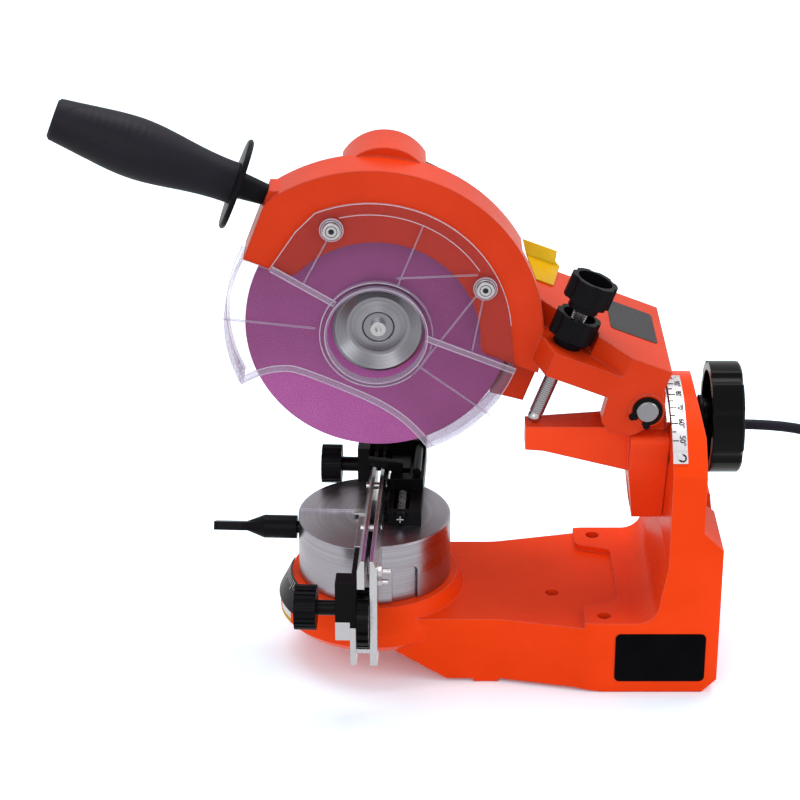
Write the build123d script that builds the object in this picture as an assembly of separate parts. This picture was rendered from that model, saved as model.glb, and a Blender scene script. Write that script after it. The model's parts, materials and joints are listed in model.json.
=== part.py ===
from build123d import *
import os
from math import atan2, cos, degrees, hypot, pi, radians, sin, sqrt, tan

# Bench chain sharpener: a small grinder head on a tilting bracket, above a turning chain vise.
# Frame: +X right along the base, +Y away from the user, +Z up. The origin is midway between the
# two bench bolt holes, on the underside of the base. All sizes are in millimetres and degrees.

# Clearances
RUN = 0.05               # radial clearance of a shaft in its bore
FREE = 0.5               # radial clearance of a bolt in a plain hole
GAP = 0.3                # between faces that move past each other

# Base casting
BASE_TOP = 40.0          # recessed floor of the plate
PAD_RISE = 3.5           # the bolt pads stand this much above the floor
BASE_RIGHT = 63.0
BASE_HALF = 57.0         # half width at the upright
WAIST_HALF = 45.7        # half width beside the turntable
WAIST_END = -58.0        # where the plate starts to widen
FLARE_END = -8.0
FOOT_LEFT = -72.0
FOOT_RIGHT = -58.0
FOOT_RISE = 2.0          # the underside between the feet is this much higher
SLOPE_LOW_X = -87.0
SLOPE_HIGH_X = -118.0
DRUM_BOTTOM = 21.0
DRUM_LOW_R = 48.5        # the seat's wall is bevelled inwards at its foot
DRUM_LOW_Z = 26.5
BOLT_SPACING = 95.0
BOLT_HOLE_R = 4.0
THIRD_HOLE = (-27.0, -15.0)
POCKET_WALL = 5.0
RIB = 4.0
FLOOR_THICK = 6.0
POCKET_COLUMNS = 3
POCKET_ROWS = 3
POCKET_RIGHT = 24.0
POCKET_LEFT = -68.0

# Upright and tilt axis
TILT_Z = 97.0
UPRIGHT_FRONT = 33.5
UPRIGHT_BACK = 52.0
UPRIGHT_ARC_R = 67.5
UPRIGHT_TOP_THICK = 11.0
UPRIGHT_LEAN_Z = 150.0
STEP_Z = 99.5            # the back block ends here
STEP_CHAMFER = 10.5
FRONT_SLOPE_Z = 79.0
FRONT_SLOPE_IN = 4.0
FRONT_FOOT_Z = 56.0
FRONT_FOOT_R = 12.0
STUD_RADIUS = 46.3       # clamp stud's distance from the tilt axis
STUD_R = 5.0
TILT_RANGE = 40.0
PIVOT_R = 6.0
PIVOT_HEAD_R = 8.5
PIVOT_NUT_R = 10.0
PIVOT_SINK = 8.0         # depth of the nut's counterbore
PIVOT_HEAD_X = 23.0      # seat of the bolt's head in the bracket
PIVOT_HEAD_LONG = 6.0

# Angle scale on the upright
SCALE_THICK = 0.8
SCALE_LEFT = 33.5
SCALE_WIDTH = 8.0
SCALE_FROM = 39.0        # elevation of the strip's ends above the tilt axis
SCALE_TO = 96.0
RIVET_R = 1.6

# Turntable
TABLE_X = -127.6
TABLE_TURN = -2.8        # resting reading of the turntable
TABLE_R = 43.0
TABLE_TOP = 83.7
SEAT_TOP = 47.8
DRUM_R = 54.0
DRUM_TOP_R = 47.0
DRUM_EDGE_Z = 34.0
TABLE_PIVOT_R = 5.0
LOCK_WASHER_R = 9.3
TABLE_STEP = 1.6         # the clamp side of the top is this much lower
TABLE_SCALE_THICK = 0.7

# Vise, drawn in the turntable's own frame
JAW_THICK = 4.0
JAW_GAP = 2.8
JAW_MID = 0.8            # middle of the gap, right of the table's axis
JAW_TOP = 97.0
JAW_NEAR = -84.0
JAW_FAR = TABLE_R + 8.0
JAW_FOOT = 69.0          # bottom of the jaws in the table's slot
JAW_RAIL_BOTTOM = 80.0   # where the rails run clear of the table
JAW_NOSE_BOTTOM = 33.0
JAW_NOSE_LONG = 12.0
JAW_TRAVEL = 1.5
GUIDE_PIN_R = 2.0
GUIDE_PIN_Z = 91.0
GUIDE_PIN_Y = (-34.0, 18.0)
CLAMP_Z = 72.8
CLAMP_ROD_R = 3.5
LEVER_R = 6.6
LEVER_NEAR = -(TABLE_R + 1.0)
LEVER_LONG = 18.5
LEVER_TAPER = 10.8
LEVER_WING_END = LEVER_NEAR - 47.0
LEVER_WING_THICK = 4.8
LEVER_WING_TILT = -25.0  # the thumb tab stands this far off level
WHEEL_AXLE_Y = -78.0
FRONT_KNOB_Z = 65.2
FRONT_KNOB_R = 12.3
FRONT_KNOB_LONG = 11.8
FRONT_KNOB_X = -26.8
FRONT_SHAFT_R = 4.2
DOG_R = 2.5              # thin end of the front screw, which passes above the axle
DOG_X = -9.3
CENTRING_Z = 59.5
CENTRING_R = 16.5
CENTRING_LONG = 6.4
CENTRING_TEETH = 18
BRACKET_LEFT = -16.5
FRONT_BLOCK_TOP = 83.4
REAR_KNOB_Y = TABLE_R + 3.4
REAR_KNOB_Z = 90.4
REAR_KNOB_R = 11.2
REAR_KNOB_LONG = 11.5
REAR_KNOB_X = -21.5
REAR_SHAFT_R = 4.2
REAR_BLOCK_HALF = 8.0
REAR_BLOCK_THICK = 7.0
CARRIAGE_LEFT = 8.0
CARRIAGE_RIGHT = 27.0
CARRIAGE_NEAR = -16.0
CARRIAGE_FAR = JAW_FAR + 15.0
CARRIAGE_TOP = 92.0
STOP_HEAD_NEAR = JAW_FAR + FREE
STOP_HEAD_TOP = 104.0
SPRING_R = 3.4
PAWL_Y = 24.0
PAWL_Z = 103.5

# Tilting bracket
BRACKET_BOTTOM = 86.5
BRACKET_TOP = 146.0
BRACKET_HALF_LOW = 13.0
BRACKET_HALF_TOP = 35.5
BRACKET_FRONT_LOW = 16.5
BRACKET_FRONT_TOP = 12.2
PAD_TOP = 147.0
PAD_TIP = -44.5
PAD_NEAR = -22.0
PAD_WIDTH = 14.0
PAD_TIP_DEEP = 13.7
PAD_ROOT_Z = 119.5
HUB_R = 12.0
POINTER_R = 66.0
POINTER_THICK = 2.0
POINTER_SPREAD = 29.0

# Handwheel
HANDWHEEL_LEFT = 57.0
HANDWHEEL_LONG = 17.5
HANDWHEEL_R = 31.0
HANDWHEEL_LOBES = 8
HANDWHEEL_WALL = 3.5

# Head, drawn in its own frame: origin at the hinge pin, x along the arm, z out of its top
PIN_X = 20.3
PIN_Z = 162.5
HEAD_TURN = 21.0
PIN_R = 6.0
EAR_OUT = 33.0
EAR_BOSS = 1.0
ARM_TOP = 25.0
ARM_BOTTOM = -1.0
ARM_RIGHT = 4.0
ARM_FAR = 58.0
SHELF_TOP = 13.0
SHELF_LEFT = -59.0
BOX_NEAR_END = -19.0
ARM_WALL = 3.5
CAVITY_LEFT = -22.0
CAVITY_TOP = 14.0
SWITCH_LEFT = -37.0
SWITCH_RIGHT = -13.0
SWITCH_LOW = 3.0
SWITCH_HIGH = 19.0
STOP_U = -51.4
STOP_Y = -14.5
STOP_R = 4.0
STOP_TRAVEL = 6.25
LOCK_KNOB_R = 12.5
DEPTH_KNOB_R = 13.0
KNOB_LONG = 18.0
LOWER_LOBES = 6

# Wheel, spindle and motor, on an axis parallel to the hinge pin
WHEEL_R = 72.5
WHEEL_THICK = 4.0
WHEEL_BORE_R = 11.1
FLANGE_R = 25.0
INNER_FLANGE_THICK = 5.0
SHAFT_R = 6.0
FLANGE_SCREW_R = 2.5
ROTOR_R = 27.0
ROTOR_NEAR = 34.0
ROTOR_LONG = 26.0
FAN_R = 44.0
FAN_HUB_R = 11.0
FAN_LONG = 7.0
FAN_BLADES = 9
AIR_GAP = 0.6
MOTOR_R = 62.0
MOTOR_WALL = 3.0
MOTOR_FAR = 80.0
CAP_R = 67.0
CAP_FAR = 92.0
BEARING_R = 14.0
BEARING_LONG = 8.0
BEARING_NEAR = 9.5

# Guard housing
HOUSING_R = 94.0
HOUSING_TO_PIN = 58.8    # from the hinge to the housing's right side
HOUSING_U = -(HOUSING_R + HOUSING_TO_PIN)
HOUSING_V = -20.0
WHEEL_OFFSET = 3.8       # the wheel's axis lies this much right of the housing's
WHEEL_U = HOUSING_U + WHEEL_OFFSET
WHEEL_V = -17.3
HOUSING_WALL = 3.5
HOUSING_NEAR = -15.0
HOUSING_FAR = 12.0
TAB_THICK = 8.0
MOUTH_U = WHEEL_U
MOUTH_V = -22.0
MOUTH_R = 57.0
HANDLE_CUT = 78.7        # the housing is cut square at the handle, this far from its centre
HOUSING_LEFT = HOUSING_U - HANDLE_CUT
HOUSING_LOW_LEFT = -3.0
HOUSING_LOW_RIGHT = -8.0
DOME_OFFSET = 18.7
DOME_U = HOUSING_U - DOME_OFFSET
DOME_V = 50.4
DOME_R = 26.3
DOME_HALF = 22.6
DOME_FAR = 39.0

# Transparent guard
GUARD_THICK = 2.0
GUARD_FACE_R = 76.5
GUARD_SKIRT_R = 81.0
GUARD_HOLE_R = 27.0
GUARD_SCREWS = ((HOUSING_U - 40.9, 30.7), (HOUSING_U + 47.7, 28.8))
GUARD_SCREW_R = 2.5
GUARD_BEAD = 1.5         # ribs and rims stand this much proud of the face
GUARD_RIBS = (           # ends from the guard's centre, and width
    ((-61.2, 17), (-22.2, 10), 3.0),
    ((32.8, -8), (76.8, 10), 3.0),
    ((-74.2, -24), (-24.2, -11), 1.4),
    ((-43.2, 46), (-43.2, 18), 1.4),
    ((3.8, 72), (-0.2, 32), 1.4),
    ((45.8, 46), (6.8, 32), 1.4),
    ((45.8, 44), (33.8, 10), 1.4),
    ((44.8, 45), (24.8, 22), 1.4),
    ((26.8, -18), (63.8, -26), 1.4),
)

# Handle
HANDLE_V = 30.5
HANDLE_COVER = 6.5       # the block stands this much above the handle's axis, or above the rim
HANDLE_RIM = 5.5
HANDLE_BLOCK_TOP = max(HANDLE_V + HANDLE_COVER,
                       HOUSING_V + sqrt(HOUSING_R ** 2 - HANDLE_CUT ** 2) + HANDLE_RIM)
HANDLE_BLOCK_FAR = 8.0
NECK_LONG = 15.0
DISC_R = 25.0
DISC_THICK = 3.0
GRIP_LONG = 101.0
HANDLE_STUD_R = 4.0

# Cord
CORD_R = 3.0
CORD_Y = 42.0
CORD_Z = 118.4
CORD_START_X = 79.0
GLAND_NUT_LONG = 6.0
COIL_MEAN_R = 36.0
COIL_HALF = 10.0
COIL_HIGH = 13.0
COIL_CENTRE = (222.0, 4.0)
PLUG_LONG = 36.0
PLUG_THICK = 14.0
PLUG_WIDE = 35.0
TAIL_LONG = 24.0

SPRING_X = (CARRIAGE_LEFT + CARRIAGE_RIGHT) / 2 - 2
SPRING_Z = CARRIAGE_TOP - 3
JAW_FIXED_LEFT = JAW_MID + JAW_GAP / 2
JAW_MOVING_RIGHT = JAW_MID - JAW_GAP / 2
PAD_Z = BASE_TOP + PAD_RISE
WHEEL_FAR = WHEEL_THICK / 2
FACE_NEAR = HOUSING_NEAR - GUARD_THICK
SKIRT_FAR = HOUSING_FAR - TAB_THICK - GAP


def box(x0, x1, y0, y1, z0, z1):
    """Box between two corners."""
    return Pos((x0 + x1) / 2, (y0 + y1) / 2, (z0 + z1) / 2) * Box(x1 - x0, y1 - y0, z1 - z0)


def rod_x(radius, x0, x1, y=0.0, z=0.0):
    """Round bar along X."""
    return Pos((x0 + x1) / 2, y, z) * Rot(0, 90, 0) * Cylinder(radius, x1 - x0)


def rod_y(radius, y0, y1, x=0.0, z=0.0):
    """Round bar along Y."""
    return Pos(x, (y0 + y1) / 2, z) * Rot(90, 0, 0) * Cylinder(radius, y1 - y0)


def rod_z(radius, z0, z1, x=0.0, y=0.0):
    """Round bar along Z."""
    return Pos(x, y, (z0 + z1) / 2) * Cylinder(radius, z1 - z0)


def outline(points, radius=0.0):
    """Flat face with these corners, all rounded alike."""
    face = make_face(Polyline(*points, close=True))
    return fillet(face.vertices(), radius) if radius > 0 else face


def slab_xy(face, z0, z1):
    """Face drawn in (x, y), standing from z0 to z1."""
    return Pos(0, 0, z0) * extrude(face, z1 - z0)


def slab_xz(face, y0, y1):
    """Face drawn in (x, z), running from y0 to y1."""
    return Plane(origin=(0, y1, 0), x_dir=(1, 0, 0), z_dir=(0, -1, 0)) * extrude(face, y1 - y0)


def slab_yz(face, x0, x1):
    """Face drawn in (y, z), running from x0 to x1."""
    return Plane(origin=(x0, 0, 0), x_dir=(0, 1, 0), z_dir=(1, 0, 0)) * extrude(face, x1 - x0)


def turned_x(points):
    """Turned piece on the X axis from (x, radius) points."""
    return revolve(outline(points), Axis.X)


def turned_y(points):
    """Turned piece on the Y axis from (radius, y) points."""
    return revolve(outline(points), Axis.Y)


def turned_z(points):
    """Turned piece on the Z axis from (radius, z) points."""
    return Rot(90, 0, 0) * revolve(outline(points), Axis.Y)


def lobed_face(radius, lobes, depth):
    """Round knob outline with shallow finger hollows between its lobes."""
    face = Circle(radius)
    hollow_r = pi * radius / lobes * 0.62
    for index in range(lobes):
        angle = radians(360 / lobes * (index + 0.5))
        reach = radius + hollow_r - depth
        face -= Pos(reach * cos(angle), reach * sin(angle)) * Circle(hollow_r)
    return face


def toothed_face(radius, teeth, depth):
    """Wheel outline with square-cut teeth."""
    face = Circle(radius)
    slot = pi * radius / teeth
    for index in range(teeth):
        face -= Rot(0, 0, 360 / teeth * index) * Pos(radius, 0) * Rectangle(2 * depth, slot)
    return face


def along_x(shape, x, y=0.0, z=0.0):
    """Lay a shape drawn along Z so that it runs along +X from x."""
    return Plane(origin=(x, y, z), x_dir=(0, 1, 0), z_dir=(1, 0, 0)) * shape


def on_table(shape):
    """Place a shape drawn in the turntable's frame."""
    return Pos(TABLE_X, 0, 0) * Rot(0, 0, TABLE_TURN) * shape


def on_head(shape):
    """Place a shape drawn in the head's frame."""
    return Pos(PIN_X, 0, PIN_Z) * Rot(0, HEAD_TURN, 0) * shape


def at_wheel(shape):
    """Place a shape drawn round the spindle's axis."""
    return on_head(Pos(WHEEL_U, 0, WHEEL_V) * shape)


# ---------------------------------------------------------------- base

def base_side():
    """Side outline of the plate and the upright, seen from the user's side."""
    lean_out = (UPRIGHT_BACK - UPRIGHT_FRONT - UPRIGHT_TOP_THICK) / 2
    top_z = TILT_Z + UPRIGHT_ARC_R + FREE
    corner_r = 8.0
    with BuildSketch() as sketch:
        with BuildLine():
            Polyline(
                (TABLE_X, DRUM_BOTTOM),
                (SLOPE_HIGH_X, DRUM_BOTTOM),
                (SLOPE_LOW_X, FOOT_RISE),
                (FOOT_LEFT, FOOT_RISE),
                (FOOT_LEFT, 0),
                (FOOT_RIGHT, 0),
                (FOOT_RIGHT, FOOT_RISE),
                (2 * FLARE_END, FOOT_RISE),
                (0, 0),
                (BASE_RIGHT - corner_r, 0),
                (BASE_RIGHT, corner_r),
                (BASE_RIGHT, STEP_Z - STEP_CHAMFER),
                (UPRIGHT_BACK, STEP_Z),
                (UPRIGHT_BACK, UPRIGHT_LEAN_Z),
                (UPRIGHT_BACK - lean_out, top_z),
                (UPRIGHT_FRONT + lean_out, top_z),
                (UPRIGHT_FRONT, UPRIGHT_LEAN_Z),
                (UPRIGHT_FRONT, FRONT_SLOPE_Z),
                (UPRIGHT_FRONT - FRONT_SLOPE_IN, FRONT_FOOT_Z),
                (UPRIGHT_FRONT - FRONT_SLOPE_IN, PAD_Z),
                (TABLE_X, PAD_Z),
                close=True,
            )
        make_face()
        near = sketch.vertices().sort_by_distance(Vertex(UPRIGHT_FRONT - FRONT_SLOPE_IN, PAD_Z, 0))
        fillet(near[0], FRONT_FOOT_R)
    return sketch.sketch


def base_front():
    """Outline of the upright seen along X: straight sides under a round top."""
    disc = Pos(0, TILT_Z) * Circle(UPRIGHT_ARC_R)
    block = Pos(0, TILT_Z / 2) * Rectangle(2 * BASE_HALF, TILT_Z)
    upper = Pos(0, TILT_Z + UPRIGHT_ARC_R / 2) * Rectangle(2 * BASE_HALF, UPRIGHT_ARC_R)
    return block + (disc & upper)


def base_plan(inset=0.0):
    """Outline of the plate seen from above, with an optional inset."""
    waist = WAIST_HALF - inset
    half = BASE_HALF - inset
    flare = outline([
        (TABLE_X, -waist), (WAIST_END, -waist), (FLARE_END, -half), (BASE_RIGHT + inset, -half),
        (BASE_RIGHT + inset, half), (FLARE_END, half), (WAIST_END, waist), (TABLE_X, waist),
    ])
    bends = [v for v in flare.vertices() if WAIST_END - 1 < v.X < FLARE_END + 1]
    return fillet(bends, 30.0)


def floor_recess():
    """Cutter for the lower floor between the four raised pads."""
    pad_left = -11.0
    pad_right = 9.0
    neck = 36.0
    edge = BASE_HALF + 5
    face = outline([
        (TABLE_X, -edge), (pad_left, -edge), (pad_left, -neck), (pad_right, -neck + 6),
        (pad_right, neck - 6), (pad_left, neck), (pad_left, edge), (TABLE_X, edge),
    ], 6.0)
    return slab_xy(face, BASE_TOP, PAD_Z + 1)


def underside_pockets():
    """Grid of pockets that leaves ribs below the plate."""
    wide = (POCKET_RIGHT - POCKET_LEFT - RIB * (POCKET_COLUMNS - 1)) / POCKET_COLUMNS
    span = 2 * (WAIST_HALF - POCKET_WALL)
    deep = (span - RIB * (POCKET_ROWS - 1)) / POCKET_ROWS
    cutters = []
    for column in range(POCKET_COLUMNS):
        for row in range(POCKET_ROWS):
            x = POCKET_LEFT + (wide + RIB) * column + wide / 2
            y = -span / 2 + (deep + RIB) * row + deep / 2
            face = Pos(x, y) * RectangleRounded(wide, deep, 4.0)
            cutters.append(slab_xy(face, -1, BASE_TOP - FLOOR_THICK))
    return cutters


def base_casting():
    """Plate, round turntable seat and upright in one casting."""
    width = BASE_HALF + 1
    body = slab_xz(base_side(), -width, width)
    body &= slab_yz(base_front(), TABLE_X - 1, BASE_RIGHT + 1)
    body &= slab_xy(base_plan(), -1, TILT_Z + UPRIGHT_ARC_R + 1)
    body -= floor_recess()
    drum = turned_z([
        (0, DRUM_BOTTOM), (DRUM_LOW_R, DRUM_BOTTOM), (DRUM_R, DRUM_LOW_Z), (DRUM_R, DRUM_EDGE_Z),
        (DRUM_TOP_R, SEAT_TOP), (0, SEAT_TOP),
    ])
    body += Pos(TABLE_X, 0, 0) * drum
    body -= underside_pockets()
    hole_x, hole_y = THIRD_HOLE
    bosses = rod_z(2 * BOLT_HOLE_R, FOOT_RISE, BASE_TOP, hole_x, hole_y)
    body += bosses
    for x, y in ((0, BOLT_SPACING / 2), (0, -BOLT_SPACING / 2), THIRD_HOLE):
        body -= rod_z(BOLT_HOLE_R, -1, PAD_Z + 1, x, y)
    body -= rod_z(TABLE_PIVOT_R + RUN, DRUM_BOTTOM - 1, SEAT_TOP + 1, TABLE_X)
    body -= rod_x(PIVOT_R, FRONT_FOOT_R, BASE_RIGHT, 0, TILT_Z)
    body -= rod_x(PIVOT_NUT_R + 2.5, UPRIGHT_BACK - PIVOT_SINK, BASE_RIGHT + 1, 0, TILT_Z)
    arc = CenterArc((0, TILT_Z), STUD_RADIUS, 90, TILT_RANGE)
    slot = SlotArc(arc, 2 * (STUD_R + FREE))
    body -= slab_yz(slot, UPRIGHT_FRONT - 1, UPRIGHT_BACK + 1)
    return body


def ring_sector(inner, outer, start, end):
    """Flat ring sector; angles are elevations above the user's side of the tilt axis."""
    ring = Circle(outer) - Circle(inner)
    reach = 2 * outer
    middle = radians(180 - (start + end) / 2)
    corners = [(0, 0)]
    for angle in (radians(180 - start), middle, radians(180 - end)):
        corners.append((reach * cos(angle), reach * sin(angle)))
    return Pos(0, TILT_Z) * (ring & outline(corners))


def angle_scale():
    """Curved steel strip on the round top of the upright, with a rivet at each end."""
    right = SCALE_LEFT + SCALE_WIDTH
    face = ring_sector(UPRIGHT_ARC_R, UPRIGHT_ARC_R + SCALE_THICK, SCALE_FROM, SCALE_TO)
    strip = slab_yz(face, SCALE_LEFT, right)
    rivets = []
    for elevation in (SCALE_FROM + 3, SCALE_TO - 3):
        head = rod_y(RIVET_R, -UPRIGHT_ARC_R - SCALE_THICK - 0.7, -UPRIGHT_ARC_R - SCALE_THICK)
        turned = Rot(-elevation, 0, 0) * head
        rivets.append(Pos((SCALE_LEFT + right) / 2, 0, TILT_Z) * turned)
    return Compound(children=[strip, *rivets])


def table_scale():
    """Black graduated strip on the cone of the turntable seat."""
    slope = hypot(DRUM_R - DRUM_TOP_R, SEAT_TOP - DRUM_EDGE_Z)
    out_r = (SEAT_TOP - DRUM_EDGE_Z) / slope
    out_z = (DRUM_R - DRUM_TOP_R) / slope
    corners = []
    for lift, ends in ((RUN, (0, 1)), (RUN + TABLE_SCALE_THICK, (1, 0))):
        for end in ends:
            r = DRUM_R + (DRUM_TOP_R - DRUM_R) * end
            z = DRUM_EDGE_Z + (SEAT_TOP - DRUM_EDGE_Z) * end
            corners.append((r + lift * out_r, z + lift * out_z))
    ring = turned_z(corners)
    reach = 2 * DRUM_R
    keep = outline([(0, 0), (-reach, reach * 0.25), (-reach, -reach)])
    return Pos(TABLE_X, 0, 0) * (ring & slab_xy(keep, 0, TABLE_TOP))


def tilt_pivot_bolt():
    """Pivot bolt of the bracket, with its nut sunk in the upright."""
    face = PIVOT_HEAD_X - PIVOT_HEAD_LONG
    nut_x = UPRIGHT_BACK - PIVOT_SINK
    head = rod_x(PIVOT_HEAD_R, face, PIVOT_HEAD_X, 0, TILT_Z)
    head -= along_x(extrude(RegularPolygon(5.5, 6), 4), face - 1, 0, TILT_Z)
    shank = rod_x(PIVOT_R, PIVOT_HEAD_X, nut_x + 9, 0, TILT_Z)
    nut = along_x(extrude(RegularPolygon(PIVOT_NUT_R, 6), 7.5), nut_x, 0, TILT_Z)
    nut -= rod_x(PIVOT_R, nut_x - 1, nut_x + 8, 0, TILT_Z)
    return Compound(children=[head + shank, nut])


# ---------------------------------------------------------------- turntable and vise

def turntable_disc():
    """Turned disc with the jaw slot, the clamp bore and a lower clamp side."""
    bottom = SEAT_TOP + GAP
    body = rod_z(TABLE_R, bottom, TABLE_TOP)
    body = chamfer(body.edges().group_by(Axis.Z)[-1], 0.8)
    jaws = box(JAW_MOVING_RIGHT - JAW_THICK - GAP, JAW_FIXED_LEFT + JAW_THICK, -TABLE_R - 1,
               TABLE_R + 1, JAW_FOOT - GAP, TABLE_TOP + 1)
    body -= jaws
    body -= box(-TABLE_R - 1, JAW_MOVING_RIGHT - JAW_THICK - 4, -TABLE_R - 1, 2.0,
                TABLE_TOP - TABLE_STEP, TABLE_TOP + 1)
    body -= rod_x(CLAMP_ROD_R + RUN, -TABLE_R - 1, 0, 0, CLAMP_Z)
    body -= rod_z(TABLE_PIVOT_R, bottom - 1, JAW_FOOT - 8)
    window = slab_xz(Pos(19, 54.5) * RectangleRounded(14, 29, 4.0), -TABLE_R - 1, 0)
    skin = rod_z(TABLE_R + 1, bottom - 1, TABLE_TOP) - rod_z(TABLE_R - 1.6, bottom - 1, TABLE_TOP)
    return on_table(body - (window & skin))


def table_pivot_bolt():
    """Bolt that holds the turntable down; it turns with the table."""
    bottom = DRUM_BOTTOM - 12
    shank = rod_z(TABLE_PIVOT_R, bottom, JAW_FOOT - 8)
    return on_table(shank)


def table_lock_nut():
    """Nut and washer below the seat."""
    top = DRUM_BOTTOM - GAP
    washer = rod_z(LOCK_WASHER_R, top - 2.0, top)
    nut = slab_xy(RegularPolygon(LOCK_WASHER_R - 0.8, 6), top - 9.0, top - 2.0)
    return on_table(washer + nut - rod_z(TABLE_PIVOT_R, top - 10, top + 1))


def jaw_blank(left):
    """One jaw: a long rail with a bevelled top edge."""
    right = left + JAW_THICK
    rail = box(left, right, JAW_NEAR, JAW_FAR, JAW_FOOT, JAW_TOP)
    near_overhang = box(left, right, JAW_NEAR - 1, -TABLE_R - 3, JAW_FOOT - 1, JAW_RAIL_BOTTOM)
    far_overhang = box(left, right, TABLE_R + 3, JAW_FAR + 1, JAW_FOOT - 1, JAW_RAIL_BOTTOM)
    return rail - near_overhang - far_overhang


def fixed_jaw():
    """Right jaw, with the long nose that carries the front fittings."""
    left = JAW_FIXED_LEFT
    right = left + JAW_THICK
    nose_far = JAW_NEAR + JAW_NOSE_LONG
    body = jaw_blank(left)
    body += box(left, right, JAW_NEAR, nose_far, JAW_NOSE_BOTTOM, JAW_TOP)
    bevel = outline([(right + 1, JAW_TOP - 6), (right, JAW_TOP - 6), (right - 2, JAW_TOP), (right + 1, JAW_TOP)])
    body -= slab_xz(bevel, JAW_NEAR - 1, JAW_FAR + 1)
    for y in GUIDE_PIN_Y:
        body -= rod_x(GUIDE_PIN_R, left - 1, right + 1, y, GUIDE_PIN_Z)
    body -= rod_x(GUIDE_PIN_R, left - 1, right + 1, WHEEL_AXLE_Y, CENTRING_Z)
    return on_table(body)


def moving_jaw():
    """Left jaw, which slides on the guide pins towards the fixed jaw."""
    right = JAW_MOVING_RIGHT
    left = right - JAW_THICK
    body = jaw_blank(left)
    bevel = outline([(left - 1, JAW_TOP - 6), (left, JAW_TOP - 6), (left + 2, JAW_TOP), (left - 1, JAW_TOP)])
    body -= slab_xz(bevel, JAW_NEAR - 1, JAW_FAR + 1)
    for y in GUIDE_PIN_Y:
        body -= rod_x(GUIDE_PIN_R + RUN, left - 1, right + 1, y, GUIDE_PIN_Z)
    return on_table(body)


def vise_pins():
    """Guide pins of the jaws and the axle of the centring wheel."""
    left = JAW_MOVING_RIGHT - JAW_THICK - 1
    right = JAW_FIXED_LEFT + JAW_THICK
    pins = [on_table(rod_x(GUIDE_PIN_R, left, right, y, GUIDE_PIN_Z)) for y in GUIDE_PIN_Y]
    axle_left = BRACKET_LEFT + 8
    pins.append(on_table(rod_x(GUIDE_PIN_R, axle_left, right, WHEEL_AXLE_Y, CENTRING_Z)))
    return Compound(children=pins)


def clamp_rod():
    """Push rod that carries the lever's force to the moving jaw."""
    jaw = JAW_MOVING_RIGHT - JAW_THICK
    return on_table(rod_x(CLAMP_ROD_R, LEVER_NEAR - LEVER_LONG + 5, jaw, 0, CLAMP_Z))


def clamp_lever():
    """Clamp lever of the vise: a round barrel that tapers into a flat thumb tab."""
    far = LEVER_NEAR - LEVER_LONG
    tip = far - LEVER_TAPER
    half = LEVER_WING_THICK / 2
    body = turned_x([(LEVER_NEAR, 0), (LEVER_NEAR, LEVER_R), (far, LEVER_R), (tip, half), (tip, 0)])
    wing = outline([
        (far, -5), (far, 5), (tip - 2, 8), (LEVER_WING_END, 7), (LEVER_WING_END, -7), (tip - 2, -8),
    ], 2.5)
    body += Rot(LEVER_WING_TILT, 0, 0) * slab_xy(wing, -half, half)
    body -= rod_x(CLAMP_ROD_R + RUN, far + 4, LEVER_NEAR + 1)
    return on_table(Pos(0, 0, CLAMP_Z) * body)


def front_bracket():
    """Black block and cheek at the near end that guide the front knob's screw."""
    right = JAW_MOVING_RIGHT - JAW_THICK - GAP
    near = JAW_NEAR
    far = near + JAW_NOSE_LONG
    cheek_left = right - 3.4
    top = FRONT_BLOCK_TOP
    cheek = box(cheek_left, right, near, far, CENTRING_Z - 3.2, top)
    block = box(BRACKET_LEFT, cheek_left, near, far, CENTRING_Z, top)
    tie = box(cheek_left, right, far, 8 - TABLE_R, 62, top) - rod_z(TABLE_R, 60, top + 1)
    body = cheek + block + tie
    body -= rod_x(FRONT_SHAFT_R + RUN, BRACKET_LEFT - 1, DOG_X, WHEEL_AXLE_Y, FRONT_KNOB_Z)
    body -= rod_x(DOG_R + RUN, DOG_X - 1, right + 1, WHEEL_AXLE_Y, FRONT_KNOB_Z)
    body -= rod_x(GUIDE_PIN_R, cheek_left - 0.5, right + 1, WHEEL_AXLE_Y, CENTRING_Z)
    return on_table(body)


def front_clevis():
    """Steel cheek left of the centring wheel, joined to the fixed jaw's nose below it."""
    left = BRACKET_LEFT + 8
    cheek = left + 3.2
    near = JAW_NEAR
    far = near + JAW_NOSE_LONG
    body = box(left, cheek, near, far, JAW_NOSE_BOTTOM, CENTRING_Z - 3.5)
    body += box(cheek, JAW_FIXED_LEFT, near + 2, far, JAW_NOSE_BOTTOM + 6.5, JAW_NOSE_BOTTOM + 9)
    spacer = box(BRACKET_LEFT, left, near, far, CENTRING_Z - 11, CENTRING_Z)
    return Compound(children=[on_table(body), on_table(spacer)])


def centring_wheel():
    """Toothed thumb wheel between the front cheeks."""
    left = JAW_FIXED_LEFT - GAP - CENTRING_LONG
    face = toothed_face(CENTRING_R, CENTRING_TEETH, 1.8)
    body = along_x(extrude(face, CENTRING_LONG), left, WHEEL_AXLE_Y, CENTRING_Z)
    return on_table(body - rod_x(GUIDE_PIN_R + RUN, left - 1, 20, WHEEL_AXLE_Y, CENTRING_Z))


def fluted_knob(radius, long, flutes, depth):
    """Round knob with straight flutes, drawn along +Z."""
    body = extrude(toothed_face(radius, flutes, depth), long)
    return body


def front_knob():
    """Fluted knob of the front screw."""
    body = along_x(fluted_knob(FRONT_KNOB_R, FRONT_KNOB_LONG, 24, 0.9), FRONT_KNOB_X - FRONT_KNOB_LONG,
                   WHEEL_AXLE_Y, FRONT_KNOB_Z)
    screw_end = FRONT_KNOB_X - FRONT_KNOB_LONG + 3
    return on_table(body - rod_x(FRONT_SHAFT_R, screw_end, FRONT_KNOB_X + 1, WHEEL_AXLE_Y, FRONT_KNOB_Z))


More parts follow.
